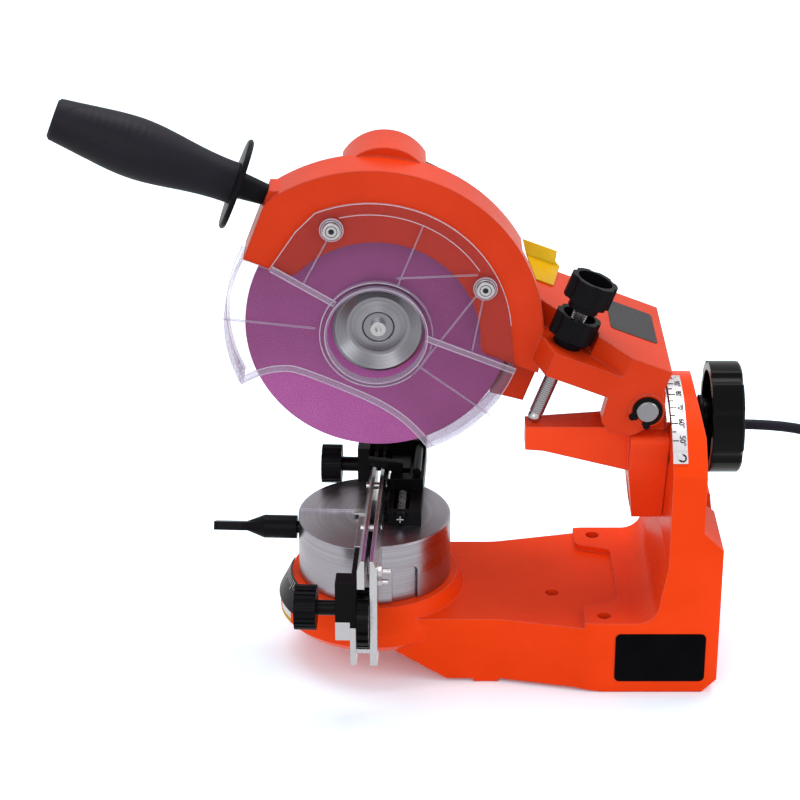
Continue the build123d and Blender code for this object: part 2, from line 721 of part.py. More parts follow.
def front_knob_screw():
    """Screw of the front knob, with a thin dog point."""
    start = FRONT_KNOB_X - FRONT_KNOB_LONG + 3
    shoulder = DOG_X - GAP
    end = JAW_MOVING_RIGHT - JAW_THICK - 2 * GAP
    shaft = turned_x([
        (start, 0), (start, FRONT_SHAFT_R), (shoulder, FRONT_SHAFT_R), (shoulder, DOG_R), (end, DOG_R), (end, 0),
    ])
    return on_table(Pos(0, WHEEL_AXLE_Y, FRONT_KNOB_Z) * shaft)


def rear_block():
    """Black block at the far end of the vise, with the bore of the rear screw."""
    right = JAW_MOVING_RIGHT - JAW_THICK - GAP
    left = right - REAR_BLOCK_THICK
    near, far = REAR_KNOB_Y - REAR_BLOCK_HALF, REAR_KNOB_Y + REAR_BLOCK_HALF
    body = box(left, right, near, far, TABLE_TOP, STOP_HEAD_TOP)
    body -= rod_x(REAR_SHAFT_R + RUN, left - 1, right + 1, REAR_KNOB_Y, REAR_KNOB_Z)
    return on_table(body)


def rear_knob():
    """Fluted knob of the rear screw."""
    body = along_x(fluted_knob(REAR_KNOB_R, REAR_KNOB_LONG, 20, 0.8), REAR_KNOB_X - REAR_KNOB_LONG,
                   REAR_KNOB_Y, REAR_KNOB_Z)
    start = REAR_KNOB_X - REAR_KNOB_LONG + 3
    return on_table(body - rod_x(REAR_SHAFT_R, start, REAR_KNOB_X + 1, REAR_KNOB_Y, REAR_KNOB_Z))


def rear_knob_screw():
    """Screw of the rear knob."""
    start = REAR_KNOB_X - REAR_KNOB_LONG + 3
    end = JAW_MOVING_RIGHT - JAW_THICK - 2 * GAP
    return on_table(rod_x(REAR_SHAFT_R, start, end, REAR_KNOB_Y, REAR_KNOB_Z))


def stop_carriage():
    """Black carriage of the chain stop beside the fixed jaw, with a spring pocket."""
    mid = 13.0
    head_left = JAW_MOVING_RIGHT - JAW_THICK - GAP
    body = box(CARRIAGE_LEFT, CARRIAGE_RIGHT, CARRIAGE_NEAR, CARRIAGE_FAR, TABLE_TOP, CARRIAGE_TOP)
    body += box(CARRIAGE_LEFT, CARRIAGE_RIGHT, mid, CARRIAGE_FAR, TABLE_TOP, STOP_HEAD_TOP - 6)
    body += box(head_left, CARRIAGE_RIGHT, STOP_HEAD_NEAR, CARRIAGE_FAR, TABLE_TOP, STOP_HEAD_TOP)
    inner = JAW_FIXED_LEFT + JAW_THICK
    body += box(inner, CARRIAGE_LEFT, -10, 10, TABLE_TOP, CARRIAGE_TOP - 3)
    body -= box(SPRING_X - 4.5, SPRING_X + 4.5, CARRIAGE_NEAR + 4, mid, SPRING_Z - SPRING_R - GAP, CARRIAGE_TOP + 1)
    body -= rod_y(2.0, CARRIAGE_NEAR - 1, CARRIAGE_NEAR + 5, SPRING_X, SPRING_Z)
    body -= rod_y(2.5, mid + 5, CARRIAGE_FAR + 1, CARRIAGE_RIGHT - 4, STOP_HEAD_TOP - 4)
    body -= box(CARRIAGE_RIGHT - 8, CARRIAGE_RIGHT + 1, mid + 5, STOP_HEAD_NEAR, STOP_HEAD_TOP - 8, STOP_HEAD_TOP + 1)
    pawl_gap = box(CARRIAGE_LEFT - 1, CARRIAGE_LEFT + 11, PAWL_Y - 3, PAWL_Y + 3, STOP_HEAD_TOP - 14,
                   STOP_HEAD_TOP + 1)
    pin = rod_y(1.2, PAWL_Y - 5, PAWL_Y + 5, CARRIAGE_LEFT + 4, STOP_HEAD_TOP - 9)
    return on_table(body - pawl_gap + pin)


def stop_rod():
    """Bright rod along the carriage."""
    return on_table(rod_y(2.5, 18, CARRIAGE_FAR + 6, CARRIAGE_RIGHT - 4, STOP_HEAD_TOP - 4))


def stop_spring():
    """Return spring of the chain stop, as a turned piece with the coils' waves."""
    start = CARRIAGE_NEAR + 5
    turns = 8
    pitch = (13.0 - start) / turns
    points = [(0, start)]
    for index in range(turns):
        points += [(2.1, start + pitch * index), (SPRING_R, start + pitch * (index + 0.5))]
    points += [(2.1, start + pitch * turns), (0, start + pitch * turns)]
    return on_table(Pos(SPRING_X, 0, SPRING_Z) * turned_y(points))


def stop_screw():
    """Screw that sets the spring."""
    shank = rod_y(2.0, CARRIAGE_NEAR, CARRIAGE_NEAR + 5, SPRING_X, SPRING_Z)
    head = rod_y(3.6, CARRIAGE_NEAR - 2.4, CARRIAGE_NEAR, SPRING_X, SPRING_Z)
    slot = box(SPRING_X - 3, SPRING_X + 3, CARRIAGE_NEAR - 3, CARRIAGE_NEAR - 1.6, SPRING_Z - 0.5, SPRING_Z + 0.5)
    return on_table(head + shank - slot)


def stop_pawl():
    """Steel finger that stops the chain's cutter; it lifts on a pin in the carriage."""
    half = 2.0
    left = JAW_MOVING_RIGHT - JAW_THICK
    pivot_x = CARRIAGE_LEFT + 4
    pivot_z = STOP_HEAD_TOP - 9
    face = outline([
        (pivot_x + 3, pivot_z - 3), (pivot_x + 3, PAWL_Z), (left, PAWL_Z + 2), (left, PAWL_Z - 2),
        (JAW_FIXED_LEFT + JAW_THICK, JAW_TOP + 2), (pivot_x - 3, JAW_TOP + 1), (pivot_x - 3, pivot_z - 3),
    ])
    body = slab_xz(face, PAWL_Y - half, PAWL_Y + half)
    return on_table(body - rod_y(1.2 + RUN, PAWL_Y - 5, PAWL_Y + 5, pivot_x, pivot_z))


# ---------------------------------------------------------------- tilting bracket

def tilt_bracket():
    """Shield-shaped plate on the upright, with the stop arm and the hub of the hinge pin."""
    back = UPRIGHT_FRONT - GAP
    shield = outline([
        (-BRACKET_HALF_LOW, BRACKET_BOTTOM), (BRACKET_HALF_LOW, BRACKET_BOTTOM),
        (BRACKET_HALF_TOP, BRACKET_TOP), (-BRACKET_HALF_TOP, BRACKET_TOP),
    ], 3.0)
    side = outline([
        (BRACKET_FRONT_LOW, BRACKET_BOTTOM - 1), (BRACKET_FRONT_TOP, BRACKET_TOP - 24),
        (BRACKET_FRONT_TOP, BRACKET_TOP + 1), (back, BRACKET_TOP + 1), (back, FRONT_SLOPE_Z),
        (back - 1, BRACKET_BOTTOM - 1),
    ])
    body = slab_yz(shield, 0, back) & slab_xz(side, -BRACKET_HALF_TOP, BRACKET_HALF_TOP)
    root = BRACKET_FRONT_LOW
    arm_side = outline([
        (PAD_TIP, PAD_TOP - PAD_TIP_DEEP), (PAD_TIP + 10, PAD_TOP - PAD_TIP_DEEP - 0.8),
        (root, PAD_ROOT_Z), (root, PAD_TOP), (PAD_TIP, PAD_TOP),
    ])
    arm_plan = outline([
        (PAD_TIP, PAD_NEAR), (root, PAD_NEAR), (root, 12), (0, -1), (PAD_TIP, PAD_NEAR + PAD_WIDTH),
    ])
    body += slab_xz(arm_side, PAD_NEAR, 20) & slab_xy(arm_plan, PAD_ROOT_Z - 5, PAD_TOP)
    hub_half = -PAD_NEAR
    web = outline([
        (PIN_X - HUB_R, PIN_Z), (PIN_X - HUB_R, BRACKET_TOP - 6), (PIN_X + HUB_R, BRACKET_TOP - 6),
        (PIN_X + HUB_R, PIN_Z),
    ])
    body += slab_xz(web, -hub_half, hub_half) + rod_y(HUB_R, -hub_half, hub_half, PIN_X, PIN_Z)
    pointer_x = back - POINTER_THICK
    body -= box(pointer_x, back + 5, -hub_half - 1, hub_half + 1, BRACKET_TOP, PIN_Z + HUB_R + 1)
    body -= rod_y(PIN_R, -hub_half - 1, hub_half + 1, PIN_X, PIN_Z)
    body -= rod_x(PIVOT_R + RUN, 0, UPRIGHT_FRONT, 0, TILT_Z)
    body -= rod_x(PIVOT_HEAD_R + FREE, 0, PIVOT_HEAD_X, 0, TILT_Z)
    body -= rod_x(STUD_R, BRACKET_FRONT_TOP + 6, UPRIGHT_FRONT, 0, TILT_Z + STUD_RADIUS)
    return body


def angle_pointer():
    """Steel sector behind the hub whose top edge reads the angle scale."""
    face = ring_sector(PIN_Z - TILT_Z - 14, POINTER_R, 90 - POINTER_SPREAD, 90 + POINTER_SPREAD)
    back = UPRIGHT_FRONT - GAP
    body = slab_yz(face, back - POINTER_THICK, back)
    low = box(0, 60, -60, 60, 0, BRACKET_TOP)
    stud = rod_x(STUD_R, 0, 60, 0, TILT_Z + STUD_RADIUS)
    return body - low - stud


def clamp_stud():
    """Stud in the bracket that reaches through the curved slot to the handwheel."""
    start = BRACKET_FRONT_TOP + 6
    stud_z = TILT_Z + STUD_RADIUS
    washer_end = UPRIGHT_BACK + GAP + 2
    stud = rod_x(STUD_R, start, HANDWHEEL_LEFT + 12, 0, stud_z)
    washer = rod_x(12.0, UPRIGHT_BACK + GAP, washer_end, 0, stud_z)
    return stud + washer


def hinge_pin():
    """Pin of the head, held by a circlip at each end."""
    end = EAR_OUT + EAR_BOSS + 2.6
    body = rod_y(PIN_R, -end, end, PIN_X, PIN_Z)
    return chamfer(body.edges().filter_by(GeomType.CIRCLE), 0.6)


def pin_circlips():
    """Two external circlips with lugs, against the ears."""
    clips = []
    for side in (-1, 1):
        near = EAR_OUT + EAR_BOSS + 0.2
        ring = Circle(PIN_R + 2.2) - Circle(PIN_R)
        lugs = Circle(2.0)
        face = ring - Rot(0, 0, -125) * Pos(PIN_R + 1, 0) * Rectangle(6, 4)
        for angle in (-158, -92):
            reach = PIN_R + 2.6
            face += Pos(reach * cos(radians(angle)), reach * sin(radians(angle))) * lugs
        y0, y1 = sorted((side * near, side * (near + 1.2)))
        clip = slab_xz(face - Circle(PIN_R), y0, y1)
        clips.append(Pos(PIN_X, 0, PIN_Z) * clip)
    return Compound(children=clips)


def handwheel():
    """Lobed clamp wheel: a cup open towards the upright, with a central sleeve."""
    stud_z = TILT_Z + STUD_RADIUS
    web = 4.0
    hub_left = UPRIGHT_BACK + GAP + 2 + GAP
    rim = extrude(lobed_face(HANDWHEEL_R, HANDWHEEL_LOBES, 1.6), HANDWHEEL_LONG)
    rim = chamfer(rim.edges().group_by(Axis.Z)[-1], 1.2)
    rim -= Pos(0, 0, (HANDWHEEL_LONG - web) / 2) * Cylinder(HANDWHEEL_R - HANDWHEEL_WALL - 1.6, HANDWHEEL_LONG - web)
    body = along_x(rim, HANDWHEEL_LEFT, 0, stud_z)
    body += rod_x(10.0, hub_left, HANDWHEEL_LEFT + HANDWHEEL_LONG - web, 0, stud_z)
    return body - rod_x(STUD_R + RUN, hub_left - 1, HANDWHEEL_LEFT + 13, 0, stud_z)


# ---------------------------------------------------------------- head

def housing_keep():
    """Region of the guard housing above its lower edges, in the head's (u, v)."""
    right = HOUSING_U + HOUSING_R + 5
    top = HOUSING_V + HOUSING_R + 5
    low = HOUSING_LOW_LEFT
    bend = MOUTH_U + 20
    return outline([
        (HOUSING_LEFT, low), (bend, low), (bend, HOUSING_LOW_RIGHT), (right, HOUSING_LOW_RIGHT),
        (right, top), (HOUSING_LEFT, top),
    ])


def housing_face(radius):
    """Round outline of the guard housing, cut square at the handle."""
    disc = Pos(HOUSING_U, HOUSING_V) * Circle(radius)
    face = disc & housing_keep()
    corner = face.vertices().sort_by_distance(Vertex(HOUSING_LEFT, HANDLE_V, 0))[0]
    return fillet(corner, 14.0)


def guard_housing():
    """Shell round the upper half of the wheel: front flange, rim wall and back plate."""
    outer = housing_face(HOUSING_R)
    mouth = Pos(MOUTH_U, MOUTH_V) * Circle(MOUTH_R)
    front = outer - mouth
    tips = [v for v in front.vertices() if v.Y < HOUSING_LOW_LEFT + 6 and v.X > HOUSING_LEFT + 5
            and v.X < MOUTH_U + MOUTH_R + 6]
    front = fillet(tips, 6.0)
    inner_disc = Pos(HOUSING_U, HOUSING_V) * Circle(HOUSING_R - HOUSING_WALL)
    shell = slab_xz(outer, HOUSING_NEAR, HOUSING_FAR)
    shell -= slab_xz(inner_disc, HOUSING_NEAR + HOUSING_WALL, HOUSING_FAR - HOUSING_WALL)
    shell -= slab_xz(mouth, HOUSING_NEAR - 1, HOUSING_NEAR + HOUSING_WALL + 1)
    shell &= slab_xz(front, HOUSING_NEAR - 1, -WHEEL_FAR - 4) + slab_xz(outer, -WHEEL_FAR - 4, HOUSING_FAR)
    rear_cut_u = HOUSING_U + 0.64 * HOUSING_R
    shell -= box(rear_cut_u, 0, -WHEEL_FAR - 4, HOUSING_FAR + 1, ARM_TOP - HOUSING_WALL, HOUSING_R)
    plate = slab_xz(Pos(WHEEL_U, WHEEL_V) * Circle(MOTOR_R), HOUSING_FAR - HOUSING_WALL, HOUSING_FAR)
    tab = outline([(-76, -36), (-57, -34), (-57, ARM_BOTTOM), (-76, ARM_BOTTOM)])
    return shell + plate + slab_xz(tab, HOUSING_FAR - 8, HOUSING_FAR)


def arm_box():
    """Arm between the housing and the hinge, with the stop screw's shelf and two ears."""
    inner_near = 6.0
    upper = outline([
        (ARM_RIGHT, -EAR_OUT), (BOX_NEAR_END, -EAR_OUT), (-70, inner_near), (-108, inner_near),
        (-108, ARM_FAR), (ARM_RIGHT, ARM_FAR),
    ])
    lower = outline([
        (ARM_RIGHT, -EAR_OUT), (SHELF_LEFT, -EAR_OUT), (SHELF_LEFT - 9, -10),
        (SHELF_LEFT - 9, inner_near), (-108, inner_near), (-108, ARM_FAR), (ARM_RIGHT, ARM_FAR),
    ])
    body = slab_xy(upper, SHELF_TOP, ARM_TOP) + slab_xy(lower, ARM_BOTTOM, SHELF_TOP)
    ear = outline([
        (ARM_RIGHT, SHELF_TOP), (8.8, 1), (7.2, -6), (-1, -16.5), (-14, -19.8), (-20.6, -15.2),
        (CAVITY_LEFT - 0.5, ARM_BOTTOM), (CAVITY_LEFT - 0.5, SHELF_TOP),
    ], 2.5)
    ears = slab_xz(ear, -EAR_OUT, EAR_OUT)
    body += ears + rod_y(9.5, -EAR_OUT - EAR_BOSS, EAR_OUT + EAR_BOSS)
    hub_space = HUB_R + 10
    body -= box(CAVITY_LEFT, ARM_RIGHT - ARM_WALL, PAD_NEAR - GAP, -PAD_NEAR + GAP, -hub_space, CAVITY_TOP)
    body -= box(ARM_RIGHT - ARM_WALL - 1, ARM_RIGHT + 8, PAD_NEAR - GAP, -PAD_NEAR + GAP, -hub_space,
                CAVITY_TOP)
    inside = box(-84, CAVITY_LEFT - ARM_WALL, inner_near + ARM_WALL, ARM_FAR - ARM_WALL,
                 ARM_BOTTOM - 1, ARM_TOP - ARM_WALL)
    body -= inside
    body -= box(CAVITY_LEFT - ARM_WALL - 1, ARM_RIGHT - ARM_WALL, EAR_OUT + 2, ARM_FAR - ARM_WALL,
                ARM_BOTTOM - 1, ARM_TOP - ARM_WALL)
    return body


def head_casting():
    """Guard housing, motor flange and arm in one casting."""
    body = guard_housing() + arm_box()
    arch = Circle(DOME_R) & Pos(0, 0) * Rectangle(2 * DOME_HALF, 2 * DOME_R)
    dome = slab_xz(arch, HOUSING_FAR - HOUSING_WALL, DOME_FAR)
    body += Pos(DOME_U, 0, DOME_V) * Rot(0, -HEAD_TURN, 0) * dome
    body += slab_xz(outline([
        (HOUSING_LEFT, HOUSING_LOW_LEFT), (HOUSING_LEFT + 18, HOUSING_LOW_LEFT + 8),
        (HOUSING_LEFT + 18, HANDLE_BLOCK_TOP + 8), (HOUSING_LEFT + 6, HANDLE_BLOCK_TOP + 2),
        (HOUSING_LEFT, HANDLE_BLOCK_TOP),
    ]), HOUSING_NEAR + 4, HANDLE_BLOCK_FAR)
    body -= rod_y(MOTOR_R, HOUSING_FAR, MOTOR_FAR + 1, WHEEL_U, WHEEL_V)
    body += rod_y(BEARING_R + 3, HOUSING_FAR - 1, BEARING_NEAR + BEARING_LONG, WHEEL_U, WHEEL_V)
    body -= rod_y(BEARING_R, BEARING_NEAR, BEARING_NEAR + BEARING_LONG + 1, WHEEL_U, WHEEL_V)
    body -= rod_y(SHAFT_R + 4, 0, HOUSING_FAR + 1, WHEEL_U, WHEEL_V)
    body -= rod_y(PIN_R + RUN, -EAR_OUT - 5, EAR_OUT + 5)
    body -= rod_z(LOCK_KNOB_R + 1.5, SHELF_TOP, ARM_TOP + 1, STOP_U, STOP_Y)
    body -= rod_z(STOP_R + RUN, ARM_BOTTOM - 1, SHELF_TOP + 1, STOP_U, STOP_Y)
    body -= rod_y(12.0, EAR_OUT + EAR_BOSS, ARM_FAR - ARM_WALL)
    body -= box(SWITCH_LEFT, SWITCH_RIGHT, ARM_FAR - ARM_WALL - 1, ARM_FAR + 1, SWITCH_LOW, SWITCH_HIGH)
    body -= rod_x(HANDLE_STUD_R, HOUSING_LEFT - 1, HOUSING_LEFT + 14, 0, HANDLE_V)
    for u, v in GUARD_SCREWS:
        body += rod_y(5.0, HOUSING_NEAR, HOUSING_NEAR + 7, u, v)
        body -= rod_y(GUARD_SCREW_R, HOUSING_NEAR - 1, HOUSING_NEAR + 6, u, v)
    wheel_space = rod_y(WHEEL_R + 3, -WHEEL_FAR - 4, HOUSING_FAR - HOUSING_WALL, WHEEL_U, WHEEL_V)
    body -= wheel_space
    return on_head(body)


def arm_cover():
    """Lower cover of the arm's electrical box."""
    left, right = -83.5, CAVITY_LEFT - ARM_WALL
    near, far = 7.0, ARM_FAR - 1.0
    plate = box(left, right, near, far, ARM_BOTTOM - 2.5, ARM_BOTTOM)
    bulge = box(left + 6, right - 16, near + 6, far - 6, ARM_BOTTOM - 8, ARM_BOTTOM - 2.5)
    bulge = chamfer(bulge.edges().group_by(Axis.Z)[0], 2.0)
    body = plate + bulge - box(-84.5, -56, 0, HOUSING_FAR + GAP, ARM_BOTTOM - 9, ARM_BOTTOM + 1)
    return on_head(body - rod_y(MOTOR_R + GAP, 0, MOTOR_FAR, WHEEL_U, WHEEL_V))


def motor_shell():
    """Tube round the stator, with cooling slots at its far end."""
    tube = rod_y(MOTOR_R, HOUSING_FAR, MOTOR_FAR) - rod_y(MOTOR_R - MOTOR_WALL, HOUSING_FAR - 1, MOTOR_FAR + 1)
    return at_wheel(tube)


def motor_end_cap():
    """Cap behind the motor with a ring of cooling slots and the far bearing's seat."""
    rear = 3.0
    cap = turned_y([
        (0, CAP_FAR - rear), (CAP_R - 4, CAP_FAR - rear), (CAP_R - 4, MOTOR_FAR - 8), (CAP_R, MOTOR_FAR - 8),
        (CAP_R, CAP_FAR - 3), (CAP_R - 3, CAP_FAR), (0, CAP_FAR),
    ])
    seat = CAP_FAR - rear - BEARING_LONG
    cap += rod_y(BEARING_R + 3, seat, CAP_FAR - rear) - rod_y(BEARING_R, seat - 1, CAP_FAR - rear)
    for index in range(12):
        slot = box(26, 54, CAP_FAR - rear - 1, CAP_FAR + 1, -2, 2)
        cap -= Rot(0, 360 / 12 * index, 0) * slot
    return at_wheel(cap)


def motor_stator():
    """Laminated stator pressed into the motor shell."""
    ring = rod_y(MOTOR_R - MOTOR_WALL, ROTOR_NEAR, ROTOR_NEAR + ROTOR_LONG)
    return at_wheel(ring - rod_y(ROTOR_R + AIR_GAP, ROTOR_NEAR - 1, ROTOR_NEAR + ROTOR_LONG + 1))


def motor_bearings():
    """Two ball bearings, one in the casting and one in the end cap."""
    rings = []
    for start in (BEARING_NEAR, CAP_FAR - 3 - BEARING_LONG):
        ring = rod_y(BEARING_R, start, start + BEARING_LONG)
        rings.append(at_wheel(ring - rod_y(SHAFT_R + RUN, start - 1, start + BEARING_LONG + 1)))
    return Compound(children=rings)


def rotor_shaft():
    """Motor shaft, with the seat of the wheel flanges at its near end."""
    shoulder = WHEEL_FAR + INNER_FLANGE_THICK
    shaft = rod_y(SHAFT_R, -WHEEL_FAR, CAP_FAR - 4)
    return at_wheel(shaft - rod_y(FLANGE_SCREW_R, -WHEEL_FAR - 1, shoulder))


def rotor_core():
    """Rotor body on the shaft."""
    core = rod_y(ROTOR_R, ROTOR_NEAR, ROTOR_NEAR + ROTOR_LONG)
    return at_wheel(core - rod_y(SHAFT_R, ROTOR_NEAR - 1, ROTOR_NEAR + ROTOR_LONG + 1))


def cooling_fan():
    """Fan on the shaft behind the rotor."""
    start = ROTOR_NEAR + ROTOR_LONG + 1.5
    end = start + FAN_LONG
    body = rod_y(FAN_HUB_R, start, end) + rod_y(FAN_R, start, start + 1.6)
    for index in range(FAN_BLADES):
        blade = box(FAN_HUB_R - 0.5, FAN_R - 1, start + 1, end, -0.9, 0.9)
        body += Rot(0, 360 / FAN_BLADES * index, 0) * blade
    return at_wheel(body - rod_y(SHAFT_R, start - 1, end + 1))


def inner_flange():
    """Flange behind the wheel with the spigot that centres its bore."""
    body = turned_y([
        (SHAFT_R, -WHEEL_FAR), (WHEEL_BORE_R, -WHEEL_FAR), (WHEEL_BORE_R, WHEEL_FAR), (FLANGE_R - 1, WHEEL_FAR),
        (FLANGE_R - 1, WHEEL_FAR + 3), (12, WHEEL_FAR + INNER_FLANGE_THICK),
        (SHAFT_R, WHEEL_FAR + INNER_FLANGE_THICK),
    ])
    return at_wheel(body)


def grinding_wheel():
    """Thin grinding wheel."""
    ring = rod_y(WHEEL_R, -WHEEL_FAR, WHEEL_FAR) - rod_y(WHEEL_BORE_R, -WHEEL_FAR - 1, WHEEL_FAR + 1)
    return at_wheel(ring)


def outer_flange():
    """Dished flange on the near side of the wheel."""
    face = -WHEEL_FAR
    body = turned_y([
        (FLANGE_SCREW_R + 0.1, face), (FLANGE_R - 2, face), (FLANGE_R, face - 2), (FLANGE_R, face - 6.5),
        (FLANGE_R - 1.6, face - 7.5), (17, face - 3.2), (15, face - 3.2), (9, face - 4.6), (8, face - 3.6),
        (FLANGE_SCREW_R + 0.1, face - 3.6),
    ])
    return at_wheel(body)


def flange_screw():
    """Socket screw that holds the flanges and the wheel."""
    face = -WHEEL_FAR - 3.6
    head = rod_y(4.2, face - 4, face) - rod_y(1.7, face - 5, face - 1.6)
    return at_wheel(head + rod_y(FLANGE_SCREW_R, face, WHEEL_FAR + 2))


def wheel_guard():
    """Transparent guard: face plate, hole for the flange, stiffening ribs and a side skirt."""
    centre = Pos(HOUSING_U, HOUSING_V)
    disc = centre * Circle(GUARD_FACE_R)
    lower_half = outline([
        (HOUSING_U - 2 * HOUSING_R, HOUSING_LOW_LEFT), (HOUSING_U + 2 * HOUSING_R, HOUSING_LOW_RIGHT - 2),
        (HOUSING_U + 2 * HOUSING_R, -2 * HOUSING_R), (HOUSING_U - 2 * HOUSING_R, -2 * HOUSING_R),
    ])
    lower = centre * Circle(GUARD_SKIRT_R) & lower_half
    window = centre * make_face([
        Spline((-56.2, -58), (-37.2, -33), (-7.2, -30.5), (15.8, -29.5), (33.8, -32), (53.8, -54)),
        Polyline((53.8, -54), (53.8, -100), (-56.2, -100), (-56.2, -58)),
    ])
    hole = Pos(WHEEL_U, WHEEL_V) * Circle(GUARD_HOLE_R)
    face = disc + lower - window - hole
    body = slab_xz(face, FACE_NEAR, HOUSING_NEAR)
    ring = Pos(WHEEL_U, WHEEL_V) * (Circle(GUARD_HOLE_R + 3) - Circle(GUARD_HOLE_R))
    body += slab_xz(ring - window, FACE_NEAR - GUARD_BEAD, HOUSING_NEAR)
    skirt = (centre * (Circle(GUARD_SKIRT_R) - Circle(GUARD_SKIRT_R - GUARD_THICK))) & lower_half
    body += slab_xz(skirt - window, HOUSING_NEAR, SKIRT_FAR)
    for (u0, v0), (u1, v1), thick in GUARD_RIBS:
        long = hypot(u1 - u0, v1 - v0)
        angle = degrees(atan2(v1 - v0, u1 - u0))
        rib = centre * Pos((u0 + u1) / 2, (v0 + v1) / 2) * Rot(0, 0, angle) * Rectangle(long, thick)
        body += slab_xz(rib & (disc + lower), FACE_NEAR - GUARD_BEAD, FACE_NEAR)
    for u, v in GUARD_SCREWS:
        body += rod_y(6.0, FACE_NEAR - GUARD_BEAD, FACE_NEAR, u, v)
        body -= rod_y(GUARD_SCREW_R + 0.1, FACE_NEAR - 2, HOUSING_NEAR + 1, u, v)
    return on_head(body)


def guard_screws():
    """Two button screws that hold the transparent guard."""
    screws = []
    for u, v in GUARD_SCREWS:
        face = FACE_NEAR - GUARD_BEAD
        head = rod_y(4.6, face - 2.6, face, u, v) - rod_y(1.5, face - 3, face - 1, u, v)
        screws.append(on_head(head + rod_y(GUARD_SCREW_R, face, HOUSING_NEAR + 5.5, u, v)))
    return Compound(children=screws)


def handle_grip():
    """Swelling handle grip."""
    start = HOUSING_LEFT - NECK_LONG - DISC_THICK
    end = start - GRIP_LONG
    with BuildSketch() as sketch:
        with BuildLine():
            curve = Spline((start, 11.3), (start - 23, 12.8), (start - 53, 16.3), (start - 80, 14.0),
                           (end + 1.5, 11.4))
            Polyline(curve @ 1, (end, 9.8), (end, 0), (start, 0), curve @ 0)
        make_face()
    body = revolve(sketch.sketch, Axis.X)
    body = Pos(0, 0, HANDLE_V) * body
    return on_head(body - rod_x(HANDLE_STUD_R, end + 20, start + 1, 0, HANDLE_V))


def handle_collar():
    """Guard disc and tapered neck between the grip and the housing."""
    near = HOUSING_LEFT
    disc = near - NECK_LONG
    body = turned_x([
        (near, HANDLE_STUD_R), (near, 5.8), (disc, 7.3), (disc, DISC_R - 1), (disc - 1, DISC_R),
        (disc - DISC_THICK + 1, DISC_R), (disc - DISC_THICK, DISC_R - 1), (disc - DISC_THICK, HANDLE_STUD_R),
    ])
    return on_head(Pos(0, 0, HANDLE_V) * body)


def handle_stud():
    """Steel stud inside the handle."""
    start = HOUSING_LEFT - NECK_LONG - DISC_THICK - GRIP_LONG + 20
    return on_head(rod_x(HANDLE_STUD_R, start, HOUSING_LEFT + 14, 0, HANDLE_V))


def stop_tip_v():
    """Height of the stop rod's ball centre that leaves it just above the pad."""
    tip_z = PAD_TOP + GAP + STOP_R
    return (tip_z - PIN_Z + STOP_U * sin(radians(HEAD_TURN))) / cos(radians(HEAD_TURN))


def depth_stop_rod():
    """Threaded depth stop with a ball end that rests on the bracket's arm."""
    tip = stop_tip_v()
    top = SHELF_TOP + 2 * KNOB_LONG + 3
    body = rod_z(STOP_R, tip, top, STOP_U, STOP_Y) + Pos(STOP_U, STOP_Y, tip) * Sphere(STOP_R)
    return on_head(body)


def cup_knob(radius, bore):
    """Six-lobed knob with a stepped foot and an open top, drawn up from Z zero."""
    foot = 5.0
    body = Pos(0, 0, foot) * extrude(lobed_face(radius, LOWER_LOBES, 1.3), KNOB_LONG - foot)
    body += Cylinder(radius - 4.5, foot, align=(Align.CENTER, Align.CENTER, Align.MIN))
    body -= Pos(0, 0, foot + 4) * Cylinder(radius - 3.2, KNOB_LONG, align=(Align.CENTER, Align.CENTER, Align.MIN))
    return body - Cylinder(bore, 3 * KNOB_LONG)


def lock_knob():
    """Lock knob on the shelf."""
    return on_head(Pos(STOP_U, STOP_Y, SHELF_TOP + GAP) * cup_knob(LOCK_KNOB_R, STOP_R + RUN))


def depth_knob():
    """Setting knob on top of the stop rod."""
    base = SHELF_TOP + KNOB_LONG + 4.5
    return on_head(Pos(STOP_U, STOP_Y, base) * cup_knob(DEPTH_KNOB_R, STOP_R + RUN))


def switch_body():
    """Frame of the power switch in the far side of the arm."""
    frame = box(SWITCH_LEFT, SWITCH_RIGHT, ARM_FAR - 14, ARM_FAR + 1.5, SWITCH_LOW, SWITCH_HIGH)
    window = box(SWITCH_LEFT + 2, SWITCH_RIGHT - 2, ARM_FAR - 7, ARM_FAR + 2, SWITCH_LOW + 2, SWITCH_HIGH - 2)
    return on_head(frame - window)


def switch_rocker():
    """Rocker of the power switch, a shallow wedge on a pivot across the frame."""
    middle = (SWITCH_LEFT + SWITCH_RIGHT) / 2
    half = (SWITCH_RIGHT - SWITCH_LEFT) / 2 - 2.8
    face = outline([
        (middle - half, ARM_FAR + 0.6), (middle, ARM_FAR - 0.6), (middle + half, ARM_FAR + 2.6),
        (middle + half - 0.6, ARM_FAR - 2.5), (middle, ARM_FAR - 5), (middle - half + 0.6, ARM_FAR - 2.5),
    ])
    return on_head(slab_xy(face, SWITCH_LOW + 2 + GAP, SWITCH_HIGH - 2 - GAP))


# ---------------------------------------------------------------- cord

CORD_ROUTE = [
    (CORD_START_X, CORD_Y, CORD_Z), (112, 42, 118.2), (138, 42.3, 107), (155, 42.8, 84), (164, 43.5, 56),
    (171, 44.6, 32), (182, 45.8, 13.5), (198, 46.3, 4.6), (217, 46.2, 3.2),
]


def cord_gland():
    """Gland nut and tapered strain relief on the upright."""
    nut = along_x(extrude(RegularPolygon(8.0, 6), GLAND_NUT_LONG), UPRIGHT_BACK, CORD_Y, CORD_Z)
    start = UPRIGHT_BACK + GLAND_NUT_LONG
    sleeve = turned_x([
        (start, 0), (start, 6.0), (start + 3, 6.0), (CORD_START_X, CORD_R + 1.0), (CORD_START_X, 0),
    ])
    return nut + Pos(0, CORD_Y, CORD_Z) * sleeve


